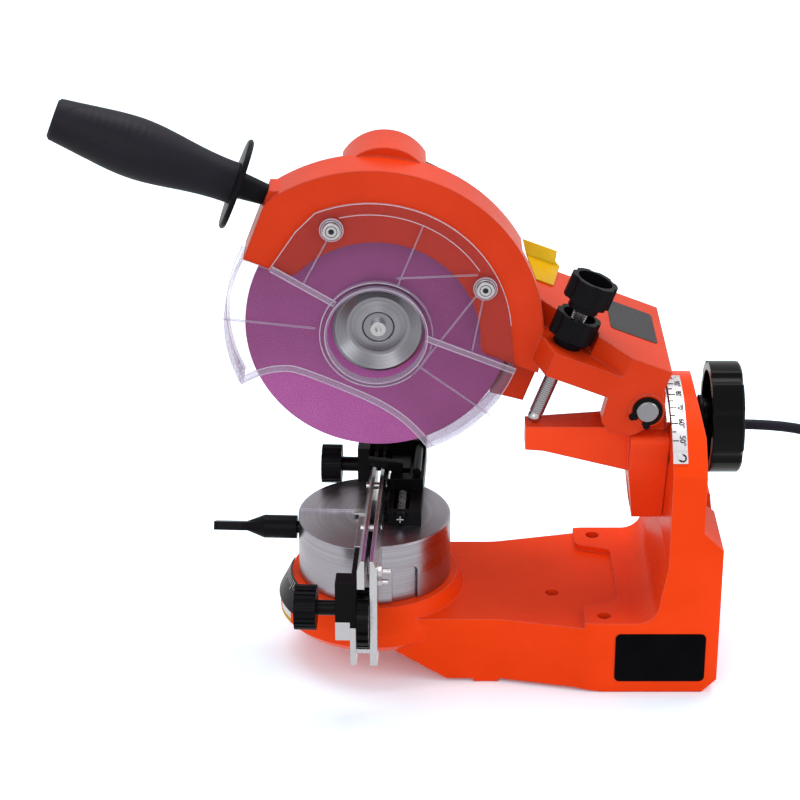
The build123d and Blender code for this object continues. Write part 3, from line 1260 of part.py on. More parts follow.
def cord_radii(route):
    """Bend radii that are as large as the two runs at each corner allow."""
    radii = []
    for before, corner, after in zip(route, route[1:], route[2:]):
        first = Vector(*corner) - Vector(*before)
        second = Vector(*after) - Vector(*corner)
        turn = first.get_angle(second)
        radii.append(0.45 * min(first.length, second.length) / tan(radians(turn / 2)))
    return radii


def cord():
    """Mains cord from the gland down to the coil on the bench."""
    radii = cord_radii(CORD_ROUTE)
    print("cord radii", [round(r, 1) for r in radii])
    path = FilletPolyline(*CORD_ROUTE, radius=radii)
    tube = sweep(Plane(origin=path @ 0, z_dir=path % 0) * Circle(CORD_R), path=path)
    print("cord volume ratio", round(tube.volume / (pi * CORD_R ** 2 * path.length), 4))
    return tube - cord_coil()


def cord_coil():
    """Outer shape of the wound cord lying on the bench."""
    inner = COIL_MEAN_R - COIL_HALF
    outer = COIL_MEAN_R + COIL_HALF
    ring = turned_z([
        (inner + 2, 0), (outer - 2, 0), (outer, 3), (outer, COIL_HIGH - 3), (outer - 2, COIL_HIGH),
        (inner + 2, COIL_HIGH), (inner, COIL_HIGH - 3), (inner, 3),
    ])
    return Pos(*COIL_CENTRE, 0) * ring


def plug_place():
    """Start of the plug's cable end, beside the coil."""
    x, y = COIL_CENTRE
    return x + COIL_MEAN_R + COIL_HALF - CORD_R - 0.4, y - 10.0


def cord_tail():
    """Last stretch of the cord, from the coil to the plug."""
    x, y = plug_place()
    return rod_y(CORD_R, y - TAIL_LONG, y, x, PLUG_THICK / 2) - cord_coil()


def plug():
    """Flat mains plug with two pins, lying on the bench."""
    x, y = plug_place()
    start = y - TAIL_LONG
    front = start - PLUG_LONG
    half = PLUG_WIDE / 2
    face = outline([
        (x - 5, start), (x + 5, start), (x + half, start - 14), (x + half, front), (x - half, front),
        (x - half, start - 14),
    ], 3.0)
    body = slab_xy(face, 0, PLUG_THICK)
    for side in (-9.5, 9.5):
        body += rod_y(2.0, front - 19, front, x + side, PLUG_THICK / 2)
    return body


NODES = {
    "base_casting": base_casting,
    "angle_scale": angle_scale,
    "table_scale": table_scale,
    "tilt_pivot_bolt": tilt_pivot_bolt,
    "cord_gland": cord_gland,
    "cord": cord,
    "cord_coil": cord_coil,
    "cord_tail": cord_tail,
    "plug": plug,
    "turntable_disc": turntable_disc,
    "table_pivot_bolt": table_pivot_bolt,
    "table_lock_nut": table_lock_nut,
    "fixed_jaw": fixed_jaw,
    "moving_jaw": moving_jaw,
    "vise_pins": vise_pins,
    "clamp_rod": clamp_rod,
    "clamp_lever": clamp_lever,
    "front_bracket": front_bracket,
    "front_clevis": front_clevis,
    "centring_wheel": centring_wheel,
    "front_knob": front_knob,
    "front_knob_screw": front_knob_screw,
    "rear_block": rear_block,
    "rear_knob": rear_knob,
    "rear_knob_screw": rear_knob_screw,
    "stop_carriage": stop_carriage,
    "stop_rod": stop_rod,
    "stop_spring": stop_spring,
    "stop_screw": stop_screw,
    "stop_pawl": stop_pawl,
    "tilt_bracket": tilt_bracket,
    "angle_pointer": angle_pointer,
    "clamp_stud": clamp_stud,
    "hinge_pin": hinge_pin,
    "pin_circlips": pin_circlips,
    "handwheel": handwheel,
    "head_casting": head_casting,
    "arm_cover": arm_cover,
    "motor_shell": motor_shell,
    "motor_end_cap": motor_end_cap,
    "motor_stator": motor_stator,
    "motor_bearings": motor_bearings,
    "rotor_shaft": rotor_shaft,
    "rotor_core": rotor_core,
    "cooling_fan": cooling_fan,
    "inner_flange": inner_flange,
    "grinding_wheel": grinding_wheel,
    "outer_flange": outer_flange,
    "flange_screw": flange_screw,
    "wheel_guard": wheel_guard,
    "guard_screws": guard_screws,
    "handle_grip": handle_grip,
    "handle_collar": handle_collar,
    "handle_stud": handle_stud,
    "depth_stop_rod": depth_stop_rod,
    "lock_knob": lock_knob,
    "depth_knob": depth_knob,
    "switch_body": switch_body,
    "switch_rocker": switch_rocker,
}

os.makedirs("parts", exist_ok=True)
for name, make in NODES.items():
    export_step(make(), f"parts/{name}.step")
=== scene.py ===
import json
import logging
import math
from dataclasses import dataclass, field
from enum import Enum

import bpy
from mathutils import Matrix, Vector
from mathutils.geometry import tessellate_polygon


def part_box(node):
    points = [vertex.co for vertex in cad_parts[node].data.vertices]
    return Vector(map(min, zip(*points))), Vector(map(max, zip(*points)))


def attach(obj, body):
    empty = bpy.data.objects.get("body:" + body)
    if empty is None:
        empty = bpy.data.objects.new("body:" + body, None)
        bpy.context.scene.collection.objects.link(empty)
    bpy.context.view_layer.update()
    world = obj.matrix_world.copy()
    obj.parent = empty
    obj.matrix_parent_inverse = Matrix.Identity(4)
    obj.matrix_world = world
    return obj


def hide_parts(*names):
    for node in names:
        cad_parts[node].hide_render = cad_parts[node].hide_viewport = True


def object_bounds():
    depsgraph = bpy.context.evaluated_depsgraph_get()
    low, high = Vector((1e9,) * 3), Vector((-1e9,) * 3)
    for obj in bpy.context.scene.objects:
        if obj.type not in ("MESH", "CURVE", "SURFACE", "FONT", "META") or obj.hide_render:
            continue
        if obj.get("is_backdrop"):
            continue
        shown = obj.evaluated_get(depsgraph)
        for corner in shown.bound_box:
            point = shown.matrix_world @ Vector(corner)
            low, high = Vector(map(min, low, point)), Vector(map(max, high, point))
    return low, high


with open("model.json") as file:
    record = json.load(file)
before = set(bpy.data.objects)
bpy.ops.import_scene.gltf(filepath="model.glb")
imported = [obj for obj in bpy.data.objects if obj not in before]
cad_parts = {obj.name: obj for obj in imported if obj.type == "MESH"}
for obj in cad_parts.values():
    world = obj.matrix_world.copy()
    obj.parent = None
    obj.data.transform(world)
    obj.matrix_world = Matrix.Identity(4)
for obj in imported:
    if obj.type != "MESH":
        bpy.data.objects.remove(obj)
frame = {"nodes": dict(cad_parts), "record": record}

log = logging.getLogger("sharpener")

Rgb = tuple[float, float, float]
Point = tuple[float, float, float]
Triple = tuple[float, float, float]
Flat = tuple[float, float]


def move(x: float, y: float, z: float) -> Matrix:
    """Frame shifted by three lengths."""
    return Matrix.Translation((x, y, z))


def turn(degrees: float, axis: str) -> Matrix:
    """Frame turned about one main axis."""
    return Matrix.Rotation(math.radians(degrees), 4, axis)


MM = 0.001
TABLE_X = -127.6
TABLE_TURN = -2.8
HINGE: Point = (20.3, 0.0, 162.5)
HEAD_TURN = 21.0
WHEEL: Point = (-149.0, 0.0, -17.3)
AXLE_IN = turn(90.0, "X")
TABLE = move(TABLE_X, 0.0, 0.0) @ turn(TABLE_TURN, "Z")
HEAD = move(*HINGE) @ turn(HEAD_TURN, "Y")
SPINDLE = HEAD @ move(*WHEEL)


class Body(Enum):
    """Bodies that the pieces of this file ride on."""

    BASE = "base"
    TABLE = "turntable"
    HEAD = "head"
    STOP = "depth_stop"


class Slot(Enum):
    """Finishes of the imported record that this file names."""

    ALLOY = "turned_alloy"
    JAW = "jaw_steel"
    ZINC = "zinc_steel"
    BLACK_STEEL = "black_steel"
    PLASTIC = "black_plastic"
    CORD = "cord_rubber"
    LAMINATION = "laminations"
    CLEAR = "clear_guard"


def add_object(name: str, data: bpy.types.ID) -> bpy.types.Object:
    """Make an object and link it to the scene."""
    obj = bpy.data.objects.new(name, data)
    bpy.context.scene.collection.objects.link(obj)
    return obj


# ------------------------------------------------------------------ drawing

def walls(count: int, low: int, high: int) -> list[tuple[int, ...]]:
    """Faces between two loops of points.

    Args:
        count: points of each loop.
        low: number of the first loop's first point.
        high: number of the second loop's first point.

    Returns:
        The faces, one for each point of a loop.
    """
    return [(low + i, low + (i + 1) % count, high + (i + 1) % count, high + i) for i in range(count)]


@dataclass
class Shape:
    """Points and faces of one mesh, in millimetres."""

    points: list[Vector] = field(default_factory=list)
    faces: list[tuple[int, ...]] = field(default_factory=list)

    def add(self, points: list[Vector], faces: list[tuple[int, ...]]) -> "Shape":
        """Join more points and faces.

        Args:
            points: new points.
            faces: their faces, counted from the first new point.

        Returns:
            This shape.
        """
        start = len(self.points)
        self.points += points
        self.faces += [tuple(start + i for i in face) for face in faces]
        return self

    def lathe(self, profile: list[Flat], steps: int = 96) -> "Shape":
        """Turn a closed profile round the local Z axis.

        Args:
            profile: (radius, height) corners, in order round the section.
            steps: sides of the turned form.

        Returns:
            This shape.
        """
        angles = [2 * math.pi * step / steps for step in range(steps)]
        rings = [[Vector((r * math.cos(a), r * math.sin(a), h)) for r, h in profile] for a in angles]
        return self.swept(rings, True)

    def swept(self, sections: list[list[Vector]], closed: bool) -> "Shape":
        """Join equal sections one after the other.

        Args:
            sections: points of each section.
            closed: whether the last joins the first, or both ends get a face.

        Returns:
            This shape.
        """
        count, last = len(sections[0]), len(sections) - 1
        faces: list[tuple[int, ...]] = []
        if not closed:
            faces += [tuple(range(count)), tuple(reversed(range(last * count, (last + 1) * count)))]
        for step in range(len(sections) if closed else last):
            here, there = step * count, (step + 1) % len(sections) * count
            for i in range(count):
                j = (i + 1) % count
                faces.append((here + i, there + i, there + j, here + j))
        return self.add([point for section in sections for point in section], faces)

    def slab(self, outline: list[Flat], low: float, high: float) -> "Shape":
        """Raise a flat outline into a plate.

        Args:
            outline: (x, y) corners, counter-clockwise.
            low: height of the underside.
            high: height of the top.

        Returns:
            This shape.
        """
        count = len(outline)
        points = [Vector((x, y, z)) for z in (low, high) for x, y in outline]
        ends: list[tuple[int, ...]] = [tuple(reversed(range(count))), tuple(range(count, 2 * count))]
        return self.add(points, ends + walls(count, 0, count))

    def rope(self, path: list[Vector], radius: float, sides: int = 8) -> "Shape":
        """Run a round section along a path, closed at both ends.

        Args:
            path: points of the centre line.
            radius: radius of the section.
            sides: sides of the section.

        Returns:
            This shape.
        """
        points: list[Vector] = []
        side = Vector((0.0, 0.0, 1.0))
        for index, here in enumerate(path):
            ahead = (path[min(index + 1, len(path) - 1)] - path[max(index - 1, 0)]).normalized()
            side = side - ahead * side.dot(ahead)
            side = side.normalized() if side.length > 1e-6 else ahead.orthogonal().normalized()
            other = ahead.cross(side)
            for step in range(sides):
                angle = 2 * math.pi * step / sides
                points.append(here + (side * math.cos(angle) + other * math.sin(angle)) * radius)
        faces: list[tuple[int, ...]] = [tuple(reversed(range(sides)))]
        faces.append(tuple(range((len(path) - 1) * sides, len(path) * sides)))
        for index in range(len(path) - 1):
            faces += walls(sides, index * sides, (index + 1) * sides)
        return self.add(points, faces)

    def sheet(self, outline: list[Flat], holes: list[list[Flat]], low: float, high: float) -> "Shape":
        """Raise a flat outline with holes into a plate.

        Args:
            outline: (x, y) corners, counter-clockwise.
            holes: corners of each hole, clockwise.
            low: height of the underside.
            high: height of the top.

        Returns:
            This shape.
        """
        loops = [outline, *holes]
        flat = [[Vector((x, y, 0.0)) for x, y in loop] for loop in loops]
        triangles = tessellate_polygon(flat)
        every = [corner for loop in flat for corner in loop]
        count = len(every)
        points = [Vector((c.x, c.y, z)) for z in (low, high) for c in every]
        faces: list[tuple[int, ...]] = []
        for a, b, c in triangles:
            up = (every[b] - every[a]).cross(every[c] - every[a]).z > 0
            a, b, c = (a, b, c) if up else (a, c, b)
            faces += [(count + a, count + b, count + c), (c, b, a)]
        start = 0
        for loop in loops:
            faces += walls(len(loop), start, count + start)
            start += len(loop)
        return self.add(points, faces)

    def box(self, place: Matrix, low: Point, high: Point) -> "Shape":
        """Add a box drawn in a frame.

        Args:
            place: the frame in millimetres.
            low: its lowest corner.
            high: its highest corner.

        Returns:
            This shape.
        """
        (x0, y0, z0), (x1, y1, z1) = low, high
        block = Shape().slab([(x0, y0), (x1, y0), (x1, y1), (x0, y1)], z0, z1).placed(place)
        return self.add(block.points, block.faces)

    def turned(self, profile: list[Flat], place: Matrix, steps: int = 48) -> "Shape":
        """Add a form turned round the Z axis of a frame.

        Args:
            profile: (radius, height) corners.
            place: the frame in millimetres.
            steps: sides of the turned form.

        Returns:
            This shape.
        """
        form = Shape().lathe(profile, steps).placed(place)
        return self.add(form.points, form.faces)

    def placed(self, place: Matrix) -> "Shape":
        """Return this shape moved by a matrix."""
        return Shape([place @ point for point in self.points], list(self.faces))

    def piece(self, name: str, material: bpy.types.Material, body: Body, slot: Slot | None = None,
              stands_for: tuple[str, ...] = (), smooth: float = 35.0) -> None:
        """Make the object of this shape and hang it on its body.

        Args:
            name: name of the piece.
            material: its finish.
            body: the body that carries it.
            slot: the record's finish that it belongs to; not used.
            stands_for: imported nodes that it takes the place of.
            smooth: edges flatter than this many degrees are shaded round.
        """
        mesh = bpy.data.meshes.new(name)
        mesh.from_pydata([tuple(point * MM) for point in self.points], [], self.faces)
        mesh.materials.append(material)
        for polygon in mesh.polygons:
            polygon.use_smooth = True
        mesh.set_sharp_from_angle(angle=math.radians(smooth))
        mesh.update()
        obj = add_object(name, mesh)
        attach(obj, body.value)
        if stands_for:
            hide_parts(*stands_for)
        log.info("piece %s: %d faces on %s", name, len(self.faces), body.value)


CORE = 0.01


def rounded(width: float, height: float, radius: float, steps: int = 6) -> list[Flat]:
    """Outline of a plate with round corners, about its middle.

    Args:
        width: size along x.
        height: size along y.
        radius: corner radius.
        steps: points per corner.

    Returns:
        The corners, counter-clockwise.
    """
    outline = []
    for corner, (sx, sy) in enumerate(((1, 1), (-1, 1), (-1, -1), (1, -1))):
        for step in range(steps + 1):
            angle = math.pi / 2 * (corner + step / steps)
            outline.append((sx * (width / 2 - radius) + radius * math.cos(angle),
                            sy * (height / 2 - radius) + radius * math.sin(angle)))
    return outline


def arc(centre: Flat, radii: Flat, angles: Flat, steps: int = 48) -> list[Flat]:
    """Points along an arc whose radius may change evenly on the way.

    Args:
        centre: middle of the arc.
        radii: first and last radius.
        angles: first and last angle in degrees.
        steps: number of runs.

    Returns:
        The points.
    """
    points = []
    for step in range(steps + 1):
        share = step / steps
        angle = math.radians(angles[0] + (angles[1] - angles[0]) * share)
        radius = radii[0] + (radii[1] - radii[0]) * share
        points.append((centre[0] + radius * math.cos(angle), centre[1] + radius * math.sin(angle)))
    return points


def circle(centre: Flat, radius: float, steps: int = 96) -> list[Flat]:
    """Points all round a centre, of which the last lies on the first."""
    return arc(centre, (radius, radius), (0.0, 360.0), steps)


def tube(inner: float, outer: float, low: float, high: float) -> list[Flat]:
    """Profile of a ring with square edges."""
    return [(inner, low), (outer, low), (outer, high), (inner, high)]


def smooth_line(knots: tuple[Flat, ...], steps: int = 6) -> list[Flat]:
    """Smooth line through a few points.

    Args:
        knots: the points.
        steps: runs between two points.

    Returns:
        The points of the line.
    """
    line = []
    for index in range(len(knots) - 1):
        a, b = knots[max(index - 1, 0)], knots[index]
        c, d = knots[index + 1], knots[min(index + 2, len(knots) - 1)]
        for step in range(steps):
            t = step / steps
            line.append(tuple(0.5 * (2 * q + (r - p) * t + (2 * p - 5 * q + 4 * r - s) * t ** 2
                                     + (3 * q - p - 3 * r + s) * t ** 3) for p, q, r, s in zip(a, b, c, d)))
    return line + [knots[-1]]


def band_of(line: list[Flat], width: float) -> list[Flat]:
    """Outline of a band on the left of a line.

    Args:
        line: points of the line.
        width: width of the band.

    Returns:
        The corners, counter-clockwise.
    """
    far = []
    for index, here in enumerate(line):
        before, after = Vector(line[max(index - 1, 0)]), Vector(line[min(index + 1, len(line) - 1)])
        way = (after - before).normalized()
        far.append((here[0] - way.y * width, here[1] + way.x * width))
    return line + far[::-1]


# ------------------------------------------------------------------ finishes

Socket = bpy.types.NodeSocket


def tinted(colour: Rgb, factor: float, lift: float = 0.0) -> Rgb:
    """Colour made deeper or paler, and no brighter than white."""
    return tuple(min(1.0, c * factor + lift) for c in colour)


class Nodes:
    """Shader nodes of a finish or of the room, written in short calls."""

    def __init__(self, tree: bpy.types.NodeTree) -> None:
        """Start with an empty tree."""
        self.tree = tree
        self.tree.nodes.clear()

    def join(self, source: Socket, target: Socket) -> None:
        """Link two sockets."""
        self.tree.links.new(source, target)

    def node(self, kind: str, settings: dict[str, object] | None = None,
             values: dict[str, object] | None = None) -> bpy.types.Node:
        """Add a node.

        Args:
            kind: Blender's type name of the node.
            settings: attributes of the node.
            values: numbers or sockets for its inputs, by name.

        Returns:
            The node.
        """
        node = self.tree.nodes.new(kind)
        for key, value in (settings or {}).items():
            setattr(node, key, value)
        for key, value in (values or {}).items():
            socket = node.inputs[key] if not key.isdigit() else node.inputs[int(key)]
            if isinstance(value, bpy.types.NodeSocket):
                self.join(value, socket)
            else:
                socket.default_value = value
        return node

    def maths(self, operation: str, first: Socket | float, second: Socket | float = 0.0) -> Socket:
        """One arithmetic step on two values."""
        values = {"0": first, "1": second}
        return self.node("ShaderNodeMath", {"operation": operation}, values).outputs["Value"]

    def between(self, share: Socket, first: Socket, second: Socket) -> Socket:
        """Shader between two shaders."""
        values = {"Fac": share, "1": first, "2": second}
        return self.node("ShaderNodeMixShader", None, values).outputs["Shader"]


class Recipe(Nodes):
    """Nodes of one finish, round one principled shader."""

    def __init__(self, name: str) -> None:
        """Start a material that shows its plain shader."""
        self.material = bpy.data.materials.new(name)
        self.material.use_nodes = True
        super().__init__(self.material.node_tree)
        self.output = self.node("ShaderNodeOutputMaterial")
        self.shader = self.node("ShaderNodeBsdfPrincipled")
        self.show(self.shader.outputs["BSDF"])

    def show(self, shader: Socket) -> None:
        """Let the surface show a shader."""
        self.join(shader, self.output.inputs["Surface"])

    def set(self, **values: object) -> None:
        """Set constants of the shader, with spaces in the names written as underscores."""
        for key, value in values.items():
            self.shader.inputs[key.replace("_", " ")].default_value = value

    def coords(self, place: Matrix | None = None, stretch: Triple = (1.0, 1.0, 1.0)) -> Socket:
        """Coordinates fixed to the piece, optionally in a local frame.

        Args:
            place: local frame in millimetres, or None for the part's own.
            stretch: scale of each axis.

        Returns:
            The vector socket.
        """
        vector = self.node("ShaderNodeTexCoord").outputs["Object"]
        if place is not None:
            back = place.inverted()
            mapping = self.node("ShaderNodeMapping", {"vector_type": "POINT"}, {"Vector": vector})
            mapping.inputs["Location"].default_value = back.translation * MM
            mapping.inputs["Rotation"].default_value = back.to_euler()
            vector = mapping.outputs["Vector"]
        if stretch != (1.0, 1.0, 1.0):
            vector = self.node("ShaderNodeVectorMath", {"operation": "MULTIPLY"},
                               {"0": vector, "1": stretch}).outputs["Vector"]
        return vector

    def noise(self, vector: Socket, scale: float, detail: float = 3.0, roughness: float = 0.55) -> Socket:
        """Noise value of about 0.5."""
        values = {"Vector": vector, "Scale": scale, "Detail": detail, "Roughness": roughness}
        return self.node("ShaderNodeTexNoise", None, values).outputs["Fac"]

    def rings(self, place: Matrix) -> Socket:
        """Coordinates that are alike all round the Z axis of a frame in millimetres."""
        parts = self.node("ShaderNodeSeparateXYZ", None, {"Vector": self.coords(place)}).outputs
        flat = self.node("ShaderNodeCombineXYZ", None, {"X": parts["X"], "Y": parts["Y"]}).outputs["Vector"]
        far = self.node("ShaderNodeVectorMath", {"operation": "LENGTH"}, {"0": flat}).outputs["Value"]
        return self.node("ShaderNodeCombineXYZ", None, {"X": far, "Z": parts["Z"]}).outputs["Vector"]

    def span(self, value: Socket, low: float, high: float, to_low: float, to_high: float) -> Socket:
        """Map a value from one range onto another, clamped."""
        values = {"Value": value, "From Min": low, "From Max": high, "To Min": to_low, "To Max": to_high}
        return self.node("ShaderNodeMapRange", {"clamp": True}, values).outputs["Result"]

    def mixed(self, share: Socket | float, first: Rgb | Socket, second: Rgb | Socket) -> Socket:
        """Colour between two colours."""
        node = self.node("ShaderNodeMix", {"data_type": "RGBA"})
        for name, value in (("Factor_Float", share), ("A_Color", first), ("B_Color", second)):
            socket = next(s for s in node.inputs if s.identifier == name)
            if isinstance(value, bpy.types.NodeSocket):
                self.join(value, socket)
            else:
                socket.default_value = value if isinstance(value, float) else (*value, 1.0)
        return next(s for s in node.outputs if s.identifier == "Result_Color")

    def soft_edge(self, radius: float) -> Socket:
        """Normal that rounds every edge by a radius in millimetres."""
        return self.node("ShaderNodeBevel", {"samples": 6}, {"Radius": radius * MM}).outputs["Normal"]

    def edge_mask(self, radius: float, low: float = 0.7, high: float = 0.985) -> Socket:
        """Value of 1 on edges and 0 on flats."""
        normal = self.node("ShaderNodeNewGeometry").outputs["Normal"]
        dot = self.node("ShaderNodeVectorMath", {"operation": "DOT_PRODUCT"},
                        {"0": self.soft_edge(radius), "1": normal}).outputs["Value"]
        return self.span(dot, low, high, 1.0, 0.0)

    def bump(self, height: Socket, strength: float, depth: float, normal: Socket | None = None) -> Socket:
        """Normal with relief.

        Args:
            height: relief from 0 to 1.
            strength: share of the relief that shows.
            depth: full depth in millimetres.
            normal: normal to build on.

        Returns:
            The normal socket.
        """
        values: dict[str, object] = {"Height": height, "Strength": strength, "Distance": depth * MM}
        if normal is not None:
            values["Normal"] = normal
        return self.node("ShaderNodeBump", None, values).outputs["Normal"]

    def wear(self, colour: Socket | None = None, roughness: Socket | None = None,
             normal: Socket | None = None) -> bpy.types.Material:
        """Link what varies over the surface and return the material."""
        for name, socket in (("Base Color", colour), ("Roughness", roughness), ("Normal", normal)):
            if socket is not None:
                self.join(socket, self.shader.inputs[name])
        return self.material


@dataclass(frozen=True)
class Enamel:
    """Baked enamel on a casting, with faint orange peel and a painted highlight along every edge."""

    name: str
    colour: Rgb
    gloss: float = 0.3
    shine: float = 0.12
    edge: float = 0.9

    def material(self) -> bpy.types.Material:
        """Make the material."""
        r = Recipe(self.name)
        here = r.coords()
        clouds = r.noise(here, 14.0, 3.0)
        deep, pale = tinted(self.colour, 0.93), tinted(self.colour, 1.05, 0.004)
        colour = r.mixed(r.span(clouds, 0.35, 0.65, 0.0, 1.0), deep, pale)
        # Painted highlight: every edge is mixed towards a paler colour, standing in for the light that edges
        # catch.
        edge_highlight = r.maths("MULTIPLY", r.edge_mask(0.8), 0.6)
        colour = r.mixed(edge_highlight, colour, tinted(self.colour, 1.1, 0.22))
        peel = r.noise(here, 520.0, 2.0, 0.4)
        rough = r.span(r.noise(here, 60.0, 4.0), 0.3, 0.7, self.gloss - 0.04, self.gloss + 0.05)
        r.set(Specular_IOR_Level=self.shine)
        return r.wear(colour, rough, r.bump(peel, 0.10, 0.12, r.soft_edge(self.edge)))


@dataclass(frozen=True)
class Turned:
    """Alloy or steel turned on a lathe, with fine tool marks round an axis."""

    name: str
    colour: Rgb
    axis: Matrix
    marks: float = 900.0
    depth: float = 0.05
    gloss: float = 0.3

    def material(self) -> bpy.types.Material:
        """Make the material."""
        r = Recipe(self.name)
        rings = r.rings(self.axis)
        fine = r.noise(rings, self.marks, 2.0, 0.6)
        broad = r.noise(rings, self.marks / 7, 2.0, 0.5)
        stains = r.noise(r.coords(), 30.0, 4.0)
        colour = r.mixed(r.span(fine, 0.3, 0.7, 0.0, 1.0), tinted(self.colour, 0.72), self.colour)
        colour = r.mixed(r.span(stains, 0.45, 0.75, 0.0, 0.25), colour, tinted(self.colour, 0.7))
        rough = r.span(broad, 0.3, 0.7, self.gloss - 0.08, self.gloss + 0.1)
        r.set(Metallic=1.0)
        return r.wear(colour, rough, r.bump(fine, 0.35, self.depth, r.soft_edge(0.5)))


@dataclass(frozen=True)
class Steel:
    """Plated or ground steel, drawn along one axis."""

    name: str
    colour: Rgb
    grain: Triple = (60.0, 900.0, 900.0)
    gloss: float = 0.28
    place: Matrix | None = None
    edge: float = 0.4

    def material(self) -> bpy.types.Material:
        """Make the material."""
        r = Recipe(self.name)
        drawn = r.noise(r.coords(self.place, self.grain), 1.0, 2.0)
        clouds = r.noise(r.coords(), 25.0, 3.0)
        colour = r.mixed(r.span(clouds, 0.35, 0.65, 0.0, 1.0), tinted(self.colour, 0.9), self.colour)
        rough = r.span(drawn, 0.3, 0.7, self.gloss - 0.06, self.gloss + 0.1)
        r.set(Metallic=1.0)
        normal = r.soft_edge(self.edge) if self.edge else None
        return r.wear(colour, rough, r.bump(drawn, 0.03, 0.01, normal))


@dataclass(frozen=True)
class Moulded:
    """Moulded plastic or rubber with a fine spark-eroded grain."""

    name: str
    colour: Rgb
    gloss: float = 0.4
    grain: float = 1500.0
    relief: float = 0.12
    edge: float = 0.6
    shine: float = 0.12

    def material(self) -> bpy.types.Material:
        """Make the material."""
        r = Recipe(self.name)
        here = r.coords()
        grain = r.noise(here, self.grain, 2.0)
        clouds = r.noise(here, 35.0, 4.0)
        colour = r.mixed(r.span(clouds, 0.4, 0.75, 0.0, 0.5), self.colour, tinted(self.colour, 1.6, 0.001))
        rough = r.span(clouds, 0.3, 0.7, self.gloss - 0.05, self.gloss + 0.08)
        r.set(Specular_IOR_Level=self.shine)
        return r.wear(colour, rough, r.bump(grain, self.relief, 0.12, r.soft_edge(self.edge)))


@dataclass(frozen=True)
class Grip:
    """Rubber of the handle: leather grain and a ribbed thumb panel."""

    name: str
    colour: Rgb
    middle: Point = (-318.0, 0.0, 30.5)
    half_long: float = 34.0
    panel_turn: float = 0.75

    def material(self) -> bpy.types.Material:
        """Make the material."""
        r = Recipe(self.name)
        here = r.coords(HEAD @ move(*self.middle))
        parts = r.node("ShaderNodeSeparateXYZ", None, {"Vector": here}).outputs
        along = r.maths("DIVIDE", parts["X"], self.half_long * MM)
        across = r.maths("ADD", r.maths("ARCTAN2", parts["Y"], parts["Z"]), self.panel_turn)
        panel = r.maths("ADD", r.maths("POWER", along, 2.0), r.maths("POWER", across, 2.0))
        inside = r.span(panel, 0.55, 0.62, 1.0, 0.0)
        bands = {"wave_type": "BANDS", "bands_direction": "X", "wave_profile": "SIN"}
        lines = r.node("ShaderNodeTexWave", bands, {"Vector": here, "Scale": 75.0}).outputs["Fac"]
        ribs = r.maths("MULTIPLY", r.span(panel, 0.2, 0.5, 1.0, 0.0), lines)
        grain = r.noise(r.coords(), 1300.0, 2.0)
        relief = r.maths("ADD", r.maths("MULTIPLY", grain, 0.25),
                         r.maths("ADD", r.maths("MULTIPLY", ribs, 0.5), r.maths("MULTIPLY", inside, -0.6)))
        clouds = r.noise(r.coords(), 40.0, 4.0)
        colour = r.mixed(r.span(clouds, 0.35, 0.7, 0.0, 1.0), self.colour, tinted(self.colour, 1.35))
        rough = r.span(clouds, 0.3, 0.7, 0.46, 0.6)
        r.set(Specular_IOR_Level=0.12)
        return r.wear(colour, rough, r.bump(relief, 0.6, 0.6, r.soft_edge(0.5)))


@dataclass(frozen=True)
class Grit:
    """Bonded abrasive: coarse grains of two tints with open pores."""

    name: str
    colour: Rgb
    dark: Rgb
    pale: Rgb

    def material(self) -> bpy.types.Material:
        """Make the material."""
        r = Recipe(self.name)
        here = r.coords()
        grain = r.noise(here, 1500.0, 2.0, 0.7)
        cells = r.node("ShaderNodeTexVoronoi", {"feature": "F1"}, {"Vector": here, "Scale": 1400.0})
        clouds = r.noise(here, 70.0, 3.0)
        colour = r.mixed(r.span(grain, 0.36, 0.62, 0.0, 1.0), self.dark, self.colour)
        colour = r.mixed(r.span(cells.outputs["Distance"], 0.0, 0.22, 0.75, 0.0), colour, self.pale)
        colour = r.mixed(r.span(clouds, 0.4, 0.75, 0.0, 0.3), colour, self.dark)
        r.set(Roughness=0.92, Specular_IOR_Level=0.25)
        return r.wear(colour, None, r.bump(grain, 0.6, 0.25))


@dataclass(frozen=True)
class Clear:
    """Clear moulded plastic: see-through in front, milky along edges and sides."""

    name: str
    colour: Rgb = (0.82, 0.79, 0.90)
    haze: float = 0.018
    edge_haze: float = 0.5
    tint: Rgb = (0.885, 0.85, 0.87)

    def material(self) -> bpy.types.Material:
        """Make the material."""
        r = Recipe(self.name)
        ripple = r.noise(r.coords(), 28.0, 2.0)
        scuffs = r.noise(r.coords(None, (60.0, 400.0, 160.0)), 1.0, 4.0)
        rough = r.span(scuffs, 0.45, 0.8, 0.06, 0.18)
        colour = r.mixed(r.span(ripple, 0.3, 0.7, 0.0, 1.0), self.colour, tinted(self.colour, 0.95))
        r.set(Specular_IOR_Level=0.5)
        r.wear(colour, rough, r.bump(ripple, 0.12, 0.6))
        facing = r.node("ShaderNodeLayerWeight", None, {"Blend": 0.5}).outputs["Facing"]
        lets_through = r.maths("SUBTRACT", 1.0, r.node("ShaderNodeLightPath").outputs["Is Shadow Ray"])
        solid = r.maths("MULTIPLY", r.span(facing, 0.25, 0.85, self.haze, self.edge_haze), lets_through)
        through = r.node("ShaderNodeBsdfTransparent", None, {"Color": (*self.tint, 1.0)})
        r.show(r.between(solid, through.outputs["BSDF"], r.shader.outputs["BSDF"]))
        return r.material


